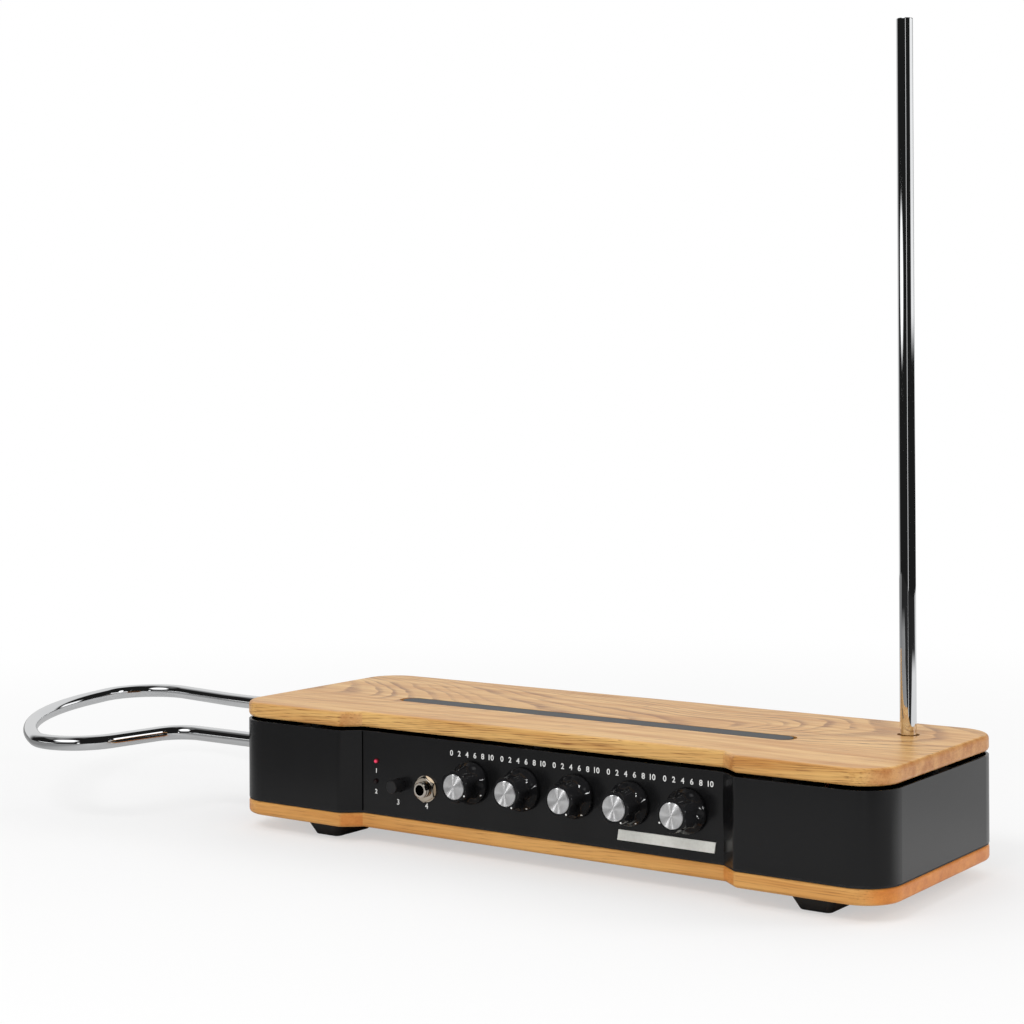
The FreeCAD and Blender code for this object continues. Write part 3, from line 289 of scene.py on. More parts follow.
VESSEL_IN_EARLY = (0.36, 0.60, 0.40, 1.15)
PORE_EDGE = (0.58, 0.66)
PORE_IN_EARLY = (0.10, 0.5, 0.3, 1.0)
PORE_STRENGTH = 0.6
PORE_SHADE = 0.55
WOOD_SPECULAR = 0.45
WOOD_RELIEF = 0.025
WOOD_BUMP = 0.5

TOP_WOOD = dict(
    heart_y=-12.0, heart_turn=46.0, heart_rise=322.0, taper=0.08, contrast=1.0, shift=(13.0, 7.0, 3.0),
    end_tint=(0.70, 0.54, 0.49), side_tint=(0.87, 0.85, 0.73),
    pale=srgb(238, 192, 124), golden=srgb(202, 140, 72), line=srgb(140, 80, 32),
)
BASE_WOOD = dict(
    heart_y=-20.0, heart_turn=10.0, heart_rise=270.0, taper=0.03, contrast=0.5, shift=(313.0, 47.0, 93.0),
    end_tint=(0.98, 0.64, 0.34), side_tint=(1.0, 1.0, 1.0),
    pale=srgb(222, 166, 92), golden=srgb(200, 136, 64), line=srgb(150, 88, 34),
)


def drift(f, place, scale, size, detail, rough=0.5):
    """Smooth random shift of a place, as wide as the given size."""
    random = f.noise(f.scaled(place, scale), detail=detail, rough=rough, colour=True)
    return f.scaled(f.vector("SUBTRACT", random, NOISE_MIDDLE), size)


def early_wood(f, place, radius):
    """Share of dark, open-pored wood at a distance from the log's heart."""
    rings = f.join(0.0, 0.0, radius)
    uneven = f.noise(rings, scale=RING_UNEVEN_SCALE, detail=1.0)
    turns = f.math("DIVIDE", radius, RING_SPACING)
    turns = f.math("ADD", turns, f.math("MULTIPLY", uneven, RING_UNEVEN_SIZE))
    season = f.noise(rings, scale=SEASON_SCALE, detail=2.0)
    patchy = f.noise(f.scaled(place, PATCH_SCALE), detail=2.0)
    depth = f.math("MULTIPLY", f.remap(season, *SEASON_DEPTH), f.remap(patchy, *PATCH_DEPTH))
    return f.math("MULTIPLY", f.ramp(f.math("FRACT", turns), EARLY_BAND), depth)


def tinted(f, share, colour, tint):
    """The colour multiplied by a tint, in the given share."""
    return f.mix(share, colour, f.mix(1.0, colour, tint, "MULTIPLY"))


def wood(name, heart_y, heart_turn, heart_rise, taper, contrast, shift,
         end_tint, side_tint, pale, golden, line):
    """Flat-sawn ring-porous wood; the log's heart runs along X, above the board, and turns aside on top."""
    f = Finish(name)
    place = f.vector("ADD", f.place, shift)
    sway = drift(f, place, SWAY_SCALE, SWAY_SIZE, detail=1.0, rough=0.45)
    ripple = drift(f, place, RIPPLE_SCALE, RIPPLE_SIZE, detail=1.5)
    x, y, z = f.split(f.vector("ADD", f.vector("ADD", f.place, sway), ripple))
    end_x, _, level_z = f.facing()
    upright = f.remap(level_z, *UPRIGHT_FACE)
    end = f.remap(end_x, *END_FACE, smooth=True)

    turned_y = f.remap(upright, 0.0, 1.0, heart_turn, heart_y)
    bend = f.remap(x, *HEART_BEND, heart_y, turned_y, smooth=True)
    below_heart = f.math("SUBTRACT", z, f.math("MULTIPLY_ADD", x, taper, heart_rise))
    radius = f.vector("LENGTH", f.join(0.0, f.math("SUBTRACT", y, bend), below_heart))
    early = early_wood(f, place, radius)
    plain = f.math("MULTIPLY", f.math("SUBTRACT", 1.0, upright), f.remap(y, *PLAIN_STRIP, smooth=True))
    early = f.math("MULTIPLY", early, f.math("SUBTRACT", 1.0, plain))
    early = f.math("MULTIPLY", early, f.math("MULTIPLY_ADD", end, -END_STRENGTH, 1.0))

    fibre = f.noise(f.scaled(place, FIBRE_SCALE), detail=5.0, rough=0.62)
    streak = f.noise(f.scaled(place, STREAK_SCALE), detail=3.0)
    vessel = f.noise(f.scaled(place, VESSEL_SCALE), detail=1.5)
    pore = f.math("MULTIPLY", f.remap(vessel, *PORE_EDGE), f.remap(early, *PORE_IN_EARLY))
    early = f.math("MULTIPLY", early, f.remap(vessel, *VESSEL_IN_EARLY))
    tone = f.math("ADD", f.remap(fibre, *FIBRE_TONE), f.remap(streak, *STREAK_TONE))
    colour = f.mix(f.math("ADD", tone, TONE_MIDDLE, clamp=True), pale, golden)
    colour = f.mix(f.math("MULTIPLY", early, contrast), colour, line)
    in_pore = tuple(channel * PORE_SHADE for channel in line)
    colour = f.mix(f.math("MULTIPLY", pore, PORE_STRENGTH * contrast), colour, in_pore)
    colour = tinted(f, f.math("MULTIPLY", upright, f.math("SUBTRACT", 1.0, end)), colour, side_tint)
    colour = tinted(f, f.math("MULTIPLY", end, END_STRENGTH), colour, end_tint)
    f.set(Base_Color=colour, Roughness=f.remap(fibre, *FIBRE_GLOSS), Specular_IOR_Level=WOOD_SPECULAR)
    f.bump(f.math("SUBTRACT", f.math("MULTIPLY", fibre, FIBRE_RELIEF), pore), WOOD_RELIEF, WOOD_BUMP)
    return f.material


# ---- paint, plastic, rubber -----------------------------------------------------------

PATCH_TONE = (0.3, 0.7)
PATCH_GLOSS = (0.25, 0.75)
GRAIN_TONE = (0.62, 0.85, 0.0, 0.5)
GRAIN_GLOSS = (0.3, 0.7, -0.03, 0.03)
COAT_BUMP = 0.6
LIFT = 1.6
LIFT_TO_GREY = 0.004
# Lighter rims of a coat: rubbed wear, and a painted highlight along rounded edges.
RUB_AND_HIGHLIGHT_WIDTH = 0.7
RUB_AND_HIGHLIGHT_BREAKS = (0.45, 0.62, 0.0, 0.7)

# Slot: material name, darker and lighter colour, least and greatest roughness, then in millimetres
# the width and height of the grain, the width of the patches and the heights of rims lightened
# for rubbed wear and as a painted edge highlight, if any.
COATS = {
    "black_sheet": ("satin_black_paint", (0.0046, 0.0046, 0.005), (0.0062, 0.0062, 0.0067),
                    (0.20, 0.26), 0.9, 0.004, 55.0, (SHEET_FOOT, SHEET_TOP)),
    "dark_strip": ("dark_felt_strip", srgb(66, 69, 71), srgb(84, 87, 89),
                   (0.50, 0.62), 0.35, 0.05, 30.0),
    "soft_black": ("black_rubber", (0.011, 0.011, 0.011), (0.017, 0.017, 0.017),
                   (0.55, 0.7), 0.5, 0.05, 12.0),
    "button_black": ("button_plastic", (0.009, 0.009, 0.010), (0.014, 0.014, 0.015),
                     (0.42, 0.5), 0.4, 0.01, 6.0),
    "moulded_black": ("moulded_plastic", (0.012, 0.012, 0.012), (0.02, 0.02, 0.02),
                      (0.35, 0.5), 0.4, 0.015, 9.0),
    "knob_black": ("knob_gloss_black", (0.005, 0.005, 0.0055), (0.0075, 0.0075, 0.008),
                   (0.05, 0.09), 1.4, 0.0006, 9.0),
    # Near-black matte for the painted shadow line in the panel's fold.
    "fold_black": ("fold_black", (0.0006, 0.0006, 0.0007), (0.0010, 0.0010, 0.0011),
                   (0.8, 0.9), 0.5, 0.002, 9.0),
    "capacitor_sleeve": ("capacitor_sleeve", (0.02, 0.03, 0.09), (0.03, 0.05, 0.14),
                         (0.25, 0.35), 0.6, 0.01, 5.0),
    "lead_sleeve": ("lead_sleeve", (0.40, 0.03, 0.02), (0.55, 0.05, 0.03),
                    (0.35, 0.45), 0.6, 0.01, 5.0),
    "winding": ("copper_winding", (0.42, 0.16, 0.06), (0.62, 0.26, 0.10),
                (0.28, 0.4), 0.3, 0.06, 3.0),
    "board_green": ("board_green", (0.01, 0.09, 0.03), (0.02, 0.14, 0.05),
                    (0.25, 0.4), 0.5, 0.01, 7.0),
    "red_lamp": ("lit_lamp", (0.10, 0.006, 0.01), (0.14, 0.01, 0.016),
                 (0.15, 0.2), 0.5, 0.002, 3.0),
    "dark_lamp": ("unlit_lamp", (0.006, 0.002, 0.002), (0.010, 0.003, 0.003),
                  (0.15, 0.2), 0.5, 0.002, 3.0),
    "white_print": ("white_print", (0.78, 0.78, 0.76), (0.86, 0.86, 0.84),
                    (0.45, 0.6), 0.3, 0.004, 3.0),
}
COAT_SPECULAR = {"black_sheet": 0.36, "knob_black": 0.20, "fold_black": 0.05}

# The lit lamp glows about a point a little to the right of its axis, in millimetres.
GLOW_COLOUR = srgb(232, 62, 98)
GLOW_OFFSET = 0.3
GLOW_FADE = (0.50, 1.30, 1.0, 0.0)


def lighter(colour):
    """The same colour, lifted a little towards grey."""
    return tuple(channel * LIFT + LIFT_TO_GREY for channel in colour)


def rim_wear_and_highlight(f, rims):
    """Thin broken lighter bands at the two given heights in millimetres: coat rubbed thin, and a painted
    highlight along the sheet's rounded rims.
    """
    _, _, z = f.split(f.place)
    broken = f.noise(f.place, scale=0.35, detail=4.0, rough=0.7)
    bands = []
    for rim in rims:
        off_rim = f.math("ABSOLUTE", f.math("SUBTRACT", z, rim))
        bands.append(f.remap(off_rim, 0.0, RUB_AND_HIGHLIGHT_WIDTH, 1.0, 0.0))
    return f.math("MULTIPLY", f.math("MAXIMUM", *bands), f.remap(broken, *RUB_AND_HIGHLIGHT_BREAKS))


def coated(name, dark, light, rough, grain_width, grain_height, patch_width, worn_and_lit_rims=None):
    """Painted or moulded surface: fine grain in the bump, patches in tone and gloss."""
    f = Finish(name)
    grain = f.noise(f.place, scale=1.0 / grain_width, detail=3.0, rough=0.6)
    patch = f.noise(f.place, scale=1.0 / patch_width, detail=3.0, rough=0.55)
    colour = f.mix(f.remap(patch, *PATCH_TONE), dark, light)
    colour = f.mix(f.remap(grain, *GRAIN_TONE), colour, lighter(light))
    if worn_and_lit_rims:
        # Rims lightened for rubbed wear and as a painted edge highlight.
        colour = f.mix(rim_wear_and_highlight(f, worn_and_lit_rims), colour, lighter(lighter(light)))
    gloss = f.math("ADD", f.remap(patch, *PATCH_GLOSS, *rough), f.remap(grain, *GRAIN_GLOSS))
    f.set(Base_Color=colour, Roughness=gloss)
    f.bump(grain, grain_height, COAT_BUMP)
    return f


def light_lamp(f, node):
    """Glow in the middle of a panel lamp's lens, which is as wide as the node's box."""
    low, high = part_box(node)
    radius = (high.x - low.x) / 2
    middle = ((low.x + radius) / MM + GLOW_OFFSET, 0.0, (high.z - radius) / MM)
    off_middle = f.scaled(f.vector("SUBTRACT", f.place, middle), (1.0, 0.0, 1.0))
    glow = f.remap(f.vector("LENGTH", off_middle), *GLOW_FADE, smooth=True)
    f.set(Emission_Color=GLOW_COLOUR, Emission_Strength=glow)


# ---- metals ---------------------------------------------------------------------------

TARNISH = (0.35, 0.75)
SMUDGE_GLOSS = (0.3, 0.75)
MARKS_PER_SMUDGE = 4
MARK_GLOSS = (0.3, 0.7, -0.01, 0.01)
METAL_BUMP = 0.5

# Slot: material name, clean and tarnished colour, least and greatest roughness, width and height of
# the fine marks in millimetres, and their squeeze along X, Y and Z, which below one is a stretch.
EVEN = (1.0, 1.0, 1.0)
METALS = {
    "steel": ("zinc_steel", (0.52, 0.53, 0.54), (0.42, 0.42, 0.40), (0.25, 0.36), 2.0, 0.002, EVEN),
    "badge_metal": ("brushed_badge", (0.94, 0.94, 0.88), (0.86, 0.86, 0.80), (0.30, 0.38), 0.5, 0.004,
                    (0.06, 1.0, 3.0)),
    "zinc": ("die_cast_zinc", (0.45, 0.46, 0.48), (0.36, 0.37, 0.38), (0.36, 0.46), 1.5, 0.01, EVEN),
    "nickel": ("warm_nickel", (0.74, 0.66, 0.56), (0.66, 0.57, 0.46), (0.10, 0.18), 3.0, 0.002, EVEN),
    "thread_nickel": ("threaded_nickel", (0.80, 0.74, 0.66), (0.72, 0.65, 0.56), (0.08, 0.14), 3.0, 0.002,
                      EVEN),
    "brass": ("brass", (0.72, 0.50, 0.20), (0.60, 0.40, 0.15), (0.18, 0.28), 3.0, 0.002, EVEN),
    "bright_tube": ("chrome_tube", (0.90, 0.91, 0.92), (0.86, 0.87, 0.88), (0.02, 0.045), 9.0, 0.0002,
                    EVEN),
    "spun_aluminium": ("spun_aluminium", (0.95, 0.95, 0.95), (0.90, 0.90, 0.91), (0.36, 0.40), 2.0, 0.0004,
                       EVEN),
}
# Slots whose bush grooves get painted shade.
GROOVE_SHADED_SLOTS = ("thread_nickel",)
BADGE_METALLIC = 0.5
CAP_METALLIC = 0.95
CAP_SPIN = 1.0
CAP_TURN = 0.25

# Painted shade: dark rings in every second groove of the headphone socket's bush, standing in for the shade
# and dark reflections down in the thread; distances from the panel's face.
THREAD_START = 2.05
THREAD_END = 5.9
THREAD_PITCH = 2.2
THREAD_EDGE = (0.12, 0.34, 0.95, 0.0)
THREAD_SHADE_COLOUR = (0.030, 0.022, 0.014)


def painted_groove_shade(f):
    """Share of painted shade on the bush's surface, highest at the bottom of a groove."""
    _, y, _ = f.split(f.place)
    reach = f.math("SUBTRACT", PANEL_FACE, y)
    turn = f.math("FRACT", f.math("DIVIDE", f.math("SUBTRACT", reach, THREAD_START), THREAD_PITCH))
    off_bottom = f.math("ABSOLUTE", f.math("SUBTRACT", turn, 0.5))
    past_start = f.math("GREATER_THAN", reach, THREAD_START)
    before_end = f.math("LESS_THAN", reach, THREAD_END)
    return f.math("MULTIPLY", f.remap(off_bottom, *THREAD_EDGE), f.math("MULTIPLY", past_start, before_end))


def metal(name, base, tarnish, rough, mark_width, mark_height, squeeze, threaded):
    """Bare or plated metal: smudges in gloss and tone, fine marks in the bump, and painted shade in a
    threaded bush's grooves.
    """
    f = Finish(name)
    smudge = f.noise(f.place, scale=1.0 / (mark_width * MARKS_PER_SMUDGE), detail=3.0, rough=0.55)
    marks = f.noise(f.scaled(f.place, squeeze), scale=1.0 / mark_width, detail=4.0, rough=0.6)
    colour = f.mix(f.remap(smudge, *TARNISH), base, tarnish)
    if threaded:
        # Painted shade at the bottom of the thread's grooves.
        colour = f.mix(painted_groove_shade(f), colour, THREAD_SHADE_COLOUR)
    gloss = f.math("ADD", f.remap(smudge, *SMUDGE_GLOSS, *rough), f.remap(marks, *MARK_GLOSS))
    f.set(Base_Color=colour, Roughness=gloss, Metallic=1.0)
    f.bump(marks, mark_height, METAL_BUMP)
    return f


def make_materials():
    """Every slot name of the record, and every finish of one piece, to its material."""
    finishes = {slot: coated(*row) for slot, row in COATS.items()}
    finishes.update({slot: metal(*row, slot in GROOVE_SHADED_SLOTS) for slot, row in METALS.items()})
    for slot, level in COAT_SPECULAR.items():
        finishes[slot].set(Specular_IOR_Level=level)
    light_lamp(finishes["red_lamp"], "power_led")
    cap = finishes["spun_aluminium"]
    tangent = cap.add("ShaderNodeTangent", direction_type="RADIAL", axis="Y")
    cap.set(Tangent=tangent.outputs[0], Metallic=CAP_METALLIC)
    cap.set(Anisotropic=CAP_SPIN, Anisotropic_Rotation=CAP_TURN)
    finishes["badge_metal"].set(Metallic=BADGE_METALLIC)
    materials = {slot: f.material for slot, f in finishes.items()}
    materials["oak"] = wood("oak_top", **TOP_WOOD)
    materials["oak_base"] = wood("oak_base", **BASE_WOOD)
    return materials


# ---- stage ----------------------------------------------------------------------------

FLOOR_RADIUS = 1.9
FLOOR_SIDES = 96
FLOOR_SINK = 0.0002
FLOOR_WHITE = 0.90
FLOOR_GLOW = (0.25, 1.2, 0.50, 1.0)
LIGHT_LEVEL = 0.80

# Azimuth is in degrees to the right of the direction towards the camera, elevation above the level.
# What polished pieces show of the floor: places are metres along an azimuth, ranges as for the wood.
# Ahead, the lit floor ends along a wide V, whose tip lies FLOOR_POINT to the right.
FLOOR_POINT = 0.28
FLOOR_POINT_SLOPE = 0.33
FLOOR_POINT_REACH = 0.55
FLOOR_EDGE = (-0.03, 0.03, 1.0, 0.0)
# Levels to the left and to the right, and of a patch backwards and outwards from the body's corner.
FLOOR_LEFT_AZIMUTH = -71
FLOOR_LEFT = (0.27, 0.42, 0.50, 0.24)
FLOOR_RIGHT = (0.42, 0.52, 0.0, 0.65)
BESIDE_BACK_AZIMUTH = 165
BESIDE_BACK_START = (-0.06, 0.06, 0.0, 1.06)
BESIDE_BACK_END = (0.10, 0.28, 1.0, 0.72)
BESIDE_OUT_AZIMUTH = 54.5
BESIDE_OUT_START = (-0.06, 0.0)
BESIDE_OUT_END = (0.22, 0.30, 1.0, 0.0)
# Far from the rod only the floor behind the object and one stretch at its left stay lit.
FLOOR_ROUND_ROD = (0.90, 1.15, 1.0, 0.0)
FLOOR_BEHIND = (-0.1, -0.3)
FLOOR_AWAY_AZIMUTH = -100
FLOOR_AWAY = (0.5, 0.7)
FLOOR_AWAY_END = (1.3, 1.6, 1.0, 0.0)
FLOOR_LEAST = 0.02
# Pale line ahead of the rod's foot, square to this azimuth.
ROD_LINE_AZIMUTH = 84
ROD_LINE_WIDTH = (0.014, 0.030, 0.9, 0.0)
ROD_LINE_START = (0.45, 0.70)

# The room that polished pieces show. Walls and boards: level, azimuth middle and half width,
# elevation middle and half height, softness.
ROOM_DARK = 0.012
ROOM_WALLS = (
    (0.30, -30.0, 22.0, 22.0, 8.0, 3.0),
    (0.90, 92.0, 30.0, 7.8, 6.0, 0.8),
    (1.10, 142.0, 7.0, 6.0, 7.0, 2.0),
    (0.90, 0.0, 2.5, 3.0, 14.0, 1.5),
    (0.16, -97.0, 22.0, 50.0, 7.0, 4.0),
    (0.28, -97.0, 25.0, 68.0, 10.0, 6.0),
    (0.30, -134.0, 14.0, 44.0, 24.0, 8.0),
)
# Lamps, oval in a mirror: level, azimuth middle and half width, elevation middle and half height.
ROOM_LAMPS = (
    (1.5, -33.0, 35.0, 43.0, 18.0),
    (1.5, 85.0, 9.0, 21.0, 14.0),
    (1.2, -72.0, 27.0, 3.4, 2.5),
)
ROOM_LAMP_EDGE = 0.7
# Backdrop behind the object: its two edges in azimuth, and how it darkens upwards.
BACKDROP_LEFT = (-116.0, -146.0, 0.0, 0.69)
BACKDROP_RIGHT = (151.0, 157.0, 0.0, 0.69)
BACKDROP_RISE = (56.0, 74.0, 1.0, 0.30)

SOFTBOX_AIM = Vector((0, 0, 0.05))


def studio_direction(azimuth, elevation):
    """Direction at an angle to the right of the photographer and above the level."""
    towards = Vector((math.sin(CAMERA_YAW), -math.cos(CAMERA_YAW), 0))
    right = Vector((math.cos(CAMERA_YAW), math.sin(CAMERA_YAW), 0))
    a = math.radians(azimuth)
    e = math.radians(elevation)
    return (towards * math.cos(a) + right * math.sin(a)) * math.cos(e) + Vector((0, 0, math.sin(e)))


def floor_in_metal(n, place):
    """Brightness of the floor where polished pieces show it."""

    def reach(azimuth, start=(0.0, 0.0, 0.0)):
        """Distance on the floor from a place, measured along a direction."""
        along = tuple(studio_direction(azimuth, 0))
        return n.vector("DOT_PRODUCT", n.vector("SUBTRACT", place, tuple(start)), along)

    ahead = reach(0)
    right = reach(90)
    left_side = n.remap(reach(FLOOR_LEFT_AZIMUTH), *FLOOR_LEFT, smooth=True)
    right_side = n.remap(right, *FLOOR_RIGHT, smooth=True)
    back = reach(BESIDE_BACK_AZIMUTH, CORNER)
    out = reach(BESIDE_OUT_AZIMUTH, CORNER)
    beside_back = n.math("MULTIPLY", n.remap(back, *BESIDE_BACK_START, smooth=True),
                         n.remap(back, *BESIDE_BACK_END))
    beside_out = n.math("MULTIPLY", n.remap(out, *BESIDE_OUT_START), n.remap(out, *BESIDE_OUT_END))
    beside = n.math("MULTIPLY", beside_back, beside_out)
    level = n.math("MAXIMUM", n.math("MAXIMUM", left_side, right_side), beside)

    off_point = n.math("ABSOLUTE", n.math("SUBTRACT", right, FLOOR_POINT))
    edge = n.math("MULTIPLY_ADD", off_point, FLOOR_POINT_SLOPE, FLOOR_POINT_REACH)
    level = n.math("MULTIPLY", level, n.remap(n.math("SUBTRACT", ahead, edge), *FLOOR_EDGE, smooth=True))

    from_rod = n.vector("DISTANCE", place, tuple(ROD_PLACE))
    away = n.math("MULTIPLY", n.remap(reach(FLOOR_AWAY_AZIMUTH, ROD_PLACE), *FLOOR_AWAY),
                  n.remap(from_rod, *FLOOR_AWAY_END))
    kept = n.math("MAXIMUM", n.remap(ahead, *FLOOR_BEHIND), away)
    kept = n.math("MAXIMUM", n.remap(from_rod, *FLOOR_ROUND_ROD, smooth=True), kept)
    level = n.math("MAXIMUM", n.math("MULTIPLY", level, kept), FLOOR_LEAST)

    beside_line = n.math("ABSOLUTE", reach(ROD_LINE_AZIMUTH, ROD_PLACE))
    line = n.math("MULTIPLY", n.remap(beside_line, *ROD_LINE_WIDTH),
                  n.remap(ahead, *ROD_LINE_START, smooth=True))
    return n.math("MAXIMUM", level, line)


def make_floor():
    """Pale disc that the object stands on, melting into the white background."""
    mesh = bpy.data.meshes.new("floor")
    shape = bmesh.new()
    bmesh.ops.create_circle(shape, cap_ends=True, segments=FLOOR_SIDES, radius=FLOOR_RADIUS)
    shape.to_mesh(mesh)
    shape.free()
    floor = bpy.data.objects.new("floor", mesh)
    floor.location.z = FLOOR_Z - FLOOR_SINK
    bpy.context.scene.collection.objects.link(floor)
    material = bpy.data.materials.new("pale_floor")
    material.use_nodes = True
    n = Nodes(material.node_tree)
    n.tree.nodes.clear()
    place = n.add("ShaderNodeTexCoord").outputs["Object"]
    rays = n.add("ShaderNodeLightPath")
    darker = n.math("SUBTRACT", floor_in_metal(n, place), FLOOR_WHITE)
    level = n.math("ADD", FLOOR_WHITE, n.math("MULTIPLY", rays.outputs["Is Glossy Ray"], darker))
    diffuse = n.add("ShaderNodeBsdfDiffuse")
    n.feed(diffuse.inputs["Color"], n.join(level, level, level))
    glow = n.add("ShaderNodeEmission")
    glow.inputs["Color"].default_value = WHITE_LIGHT
    share = n.remap(n.vector("LENGTH", place), *FLOOR_GLOW, smooth=True)
    blend = n.add("ShaderNodeMixShader")
    n.feed(blend.inputs[0], n.math("MULTIPLY", share, rays.outputs["Is Camera Ray"]))
    n.feed(blend.inputs[1], diffuse.outputs[0])
    n.feed(blend.inputs[2], glow.outputs[0])
    out = n.add("ShaderNodeOutputMaterial")
    n.feed(out.inputs[0], blend.outputs[0])
    mesh.materials.append(material)


def make_softbox(name, azimuth, elevation, distance, width, height, brightness, only=None):
    """Oval lamp that faces the object; one for given pieces also glints in them."""
    data = bpy.data.lights.new(name, "AREA")
    data.shape = "ELLIPSE"
    data.size = width
    data.size_y = height
    data.energy = brightness * width * height * math.pi
    lamp = bpy.data.objects.new(name, data)
    bpy.context.scene.collection.objects.link(lamp)
    direction = studio_direction(azimuth, elevation)
    lamp.location = direction * distance + SOFTBOX_AIM
    lamp.rotation_mode = "QUATERNION"
    lamp.rotation_quaternion = direction.to_track_quat("Z", "Y")
    lamp.visible_camera = False
    lamp.visible_glossy = bool(only)
    if only:
        lit = bpy.data.collections.new(name + "_lit")
        for piece in only:
            lit.objects.link(piece)
        lamp.light_linking.receiver_collection = lit


def room_level(n):
    """Brightness of the room in the direction of a ray."""
    direction = n.add("ShaderNodeTexCoord").outputs["Generated"]
    near = n.vector("DOT_PRODUCT", direction, tuple(studio_direction(0, 0)))
    side = n.vector("DOT_PRODUCT", direction, tuple(studio_direction(90, 0)))
    _, _, rise = n.split(direction)
    azimuth = n.math("DEGREES", n.math("ARCTAN2", side, near))
    elevation = n.math("DEGREES", n.math("ARCSINE", rise))

    def window(value, middle, half, soft):
        off = n.math("ABSOLUTE", n.math("SUBTRACT", value, middle))
        return n.remap(off, half - soft, half + soft, 1.0, 0.0, smooth=True)

    def wall(level, azimuth_middle, azimuth_half, elevation_middle, elevation_half, soft):
        both = n.math("MULTIPLY", window(azimuth, azimuth_middle, azimuth_half, soft),
                      window(elevation, elevation_middle, elevation_half, soft))
        return n.math("MULTIPLY", both, level)

    def lamp(level, azimuth_middle, azimuth_half, elevation_middle, elevation_half):
        across = n.math("DIVIDE", n.math("SUBTRACT", azimuth, azimuth_middle), azimuth_half)
        upward = n.math("DIVIDE", n.math("SUBTRACT", elevation, elevation_middle), elevation_half)
        return n.remap(n.vector("LENGTH", n.join(across, upward, 0.0)), ROOM_LAMP_EDGE, 1.0, level, 0.0)

    backdrop = n.math("MAXIMUM", n.remap(azimuth, *BACKDROP_LEFT, smooth=True),
                      n.remap(azimuth, *BACKDROP_RIGHT, smooth=True))
    total = n.math("MULTIPLY", backdrop, n.remap(elevation, *BACKDROP_RISE, smooth=True))
    for row in ROOM_WALLS:
        total = n.math("MAXIMUM", total, wall(*row))
    for row in ROOM_LAMPS:
        total = n.math("MAXIMUM", total, lamp(*row))
    return n.math("MAXIMUM", total, ROOM_DARK)


def make_world():
    """White to the camera, an even level of light, and a studio room in reflections."""
    world = bpy.data.worlds.new("studio")
    bpy.context.scene.world = world
    world.use_nodes = True
    world.cycles.sampling_method = "NONE"
    n = Nodes(world.node_tree)
    n.tree.nodes.clear()
    rays = n.add("ShaderNodeLightPath")
    light = n.add("ShaderNodeBackground")
    room = n.add("ShaderNodeBackground")
    white = n.add("ShaderNodeBackground")
    for source in (light, room, white):
        source.inputs["Color"].default_value = WHITE_LIGHT
    light.inputs["Strength"].default_value = LIGHT_LEVEL
    n.feed(room.inputs["Strength"], room_level(n))
    first = n.add("ShaderNodeMixShader")
    n.feed(first.inputs[0], rays.outputs["Is Glossy Ray"])
    n.feed(first.inputs[1], light.outputs[0])
    n.feed(first.inputs[2], room.outputs[0])
    second = n.add("ShaderNodeMixShader")
    seen = n.math("MAXIMUM", rays.outputs["Is Camera Ray"], rays.outputs["Is Transmission Ray"])
    n.feed(second.inputs[0], seen)
    n.feed(second.inputs[1], first.outputs[0])
    n.feed(second.inputs[2], white.outputs[0])
    out = n.add("ShaderNodeOutputWorld")
    n.feed(out.inputs[0], second.outputs[0])


# ---- fine pieces ----------------------------------------------------------------------

# Volume loop, as in the solid model: straights by their length and tangent arcs by their radius, in
# millimetres, and their angle in degrees. At both ends LOOP_ENTRY of the tube is inside the cabinet.
LOOP_START = (-227.0, -62.5, 44.0)
LOOP_ENTRY = 46.6
LOOP_PATH = [
    ("straight", 47.6),
    ("left", 21.2, 81.6),
    ("straight", 35.7),
    ("right", 31.7, 114.0),
    ("straight", 4.0),
    ("right", 236.5, 44.7),
    ("straight", 16.8),
    ("right", 35.8, 111.4),
    ("straight", 50.4),
    ("left", 213.7, 8.5),
]
TUBE_RADIUS = 4.7625
TUBE_BORE = 3.8625
TUBE_SIDES = 72
# Longest step of an arc in degrees and in millimetres.
ARC_STEP = 2.0
ARC_STRETCH = 2.5
# Rounded edge at the rod's top, and the share of it by which the middle of the round is cut back.
ROD_EDGE = 0.3
ROD_EDGE_MIDDLE = 0.3
ROD_STEP = 20.0

# Knob, in millimetres: a turned body with flutes from a round-nosed cutter, whose axis runs on
# FLUTE_CIRCLE and whose nose begins at the height FLUTE_BALL. The profile is (radius, height).
KNOB_SIDES = 144
FLUTES = 6
FLUTE_RADIUS = 5.2
FLUTE_CIRCLE = 13.7
FLUTE_BALL = 8.8
FLUTE_SOFTNESS = 0.22
CAP_SEAT_RADIUS = 7.48
KNOB_PROFILE = [
    (7.5, 0.8), (12.3, 0.8), (12.58, 0.92), (12.7, 1.2), (12.7, 2.5), (12.6, 2.85), (12.3, 3.2),
    (10.85, 5.4), (10.2, 7.2), (9.8, 10.2), (9.62, 16.5), (9.55, 16.9), (9.4, 17.15), (9.15, 17.28),
    (8.9, 17.3), (7.6, 17.3), (7.5, 17.24), (7.48, 16.62),
]
KNOB_STEP = 0.45

# White dots: radius and height in millimetres, and a profile in shares of these two.
DOT_RADIUS = 0.55
DOT_HEIGHT = 0.12
DOT_SIDES = 24
DOT_PROFILE = ((1.0, -1.0), (1.0, 0.1), (0.85, 0.35))
# Name, distance from the knob's axis, height above the panel, and lean outwards.
DOTS = (
    ("front", 8.85, 17.28, 0.0),
    ("skirt", 11.72, 4.1, math.radians(56.0)),
)

SHARP_ANGLE = math.radians(32.0)


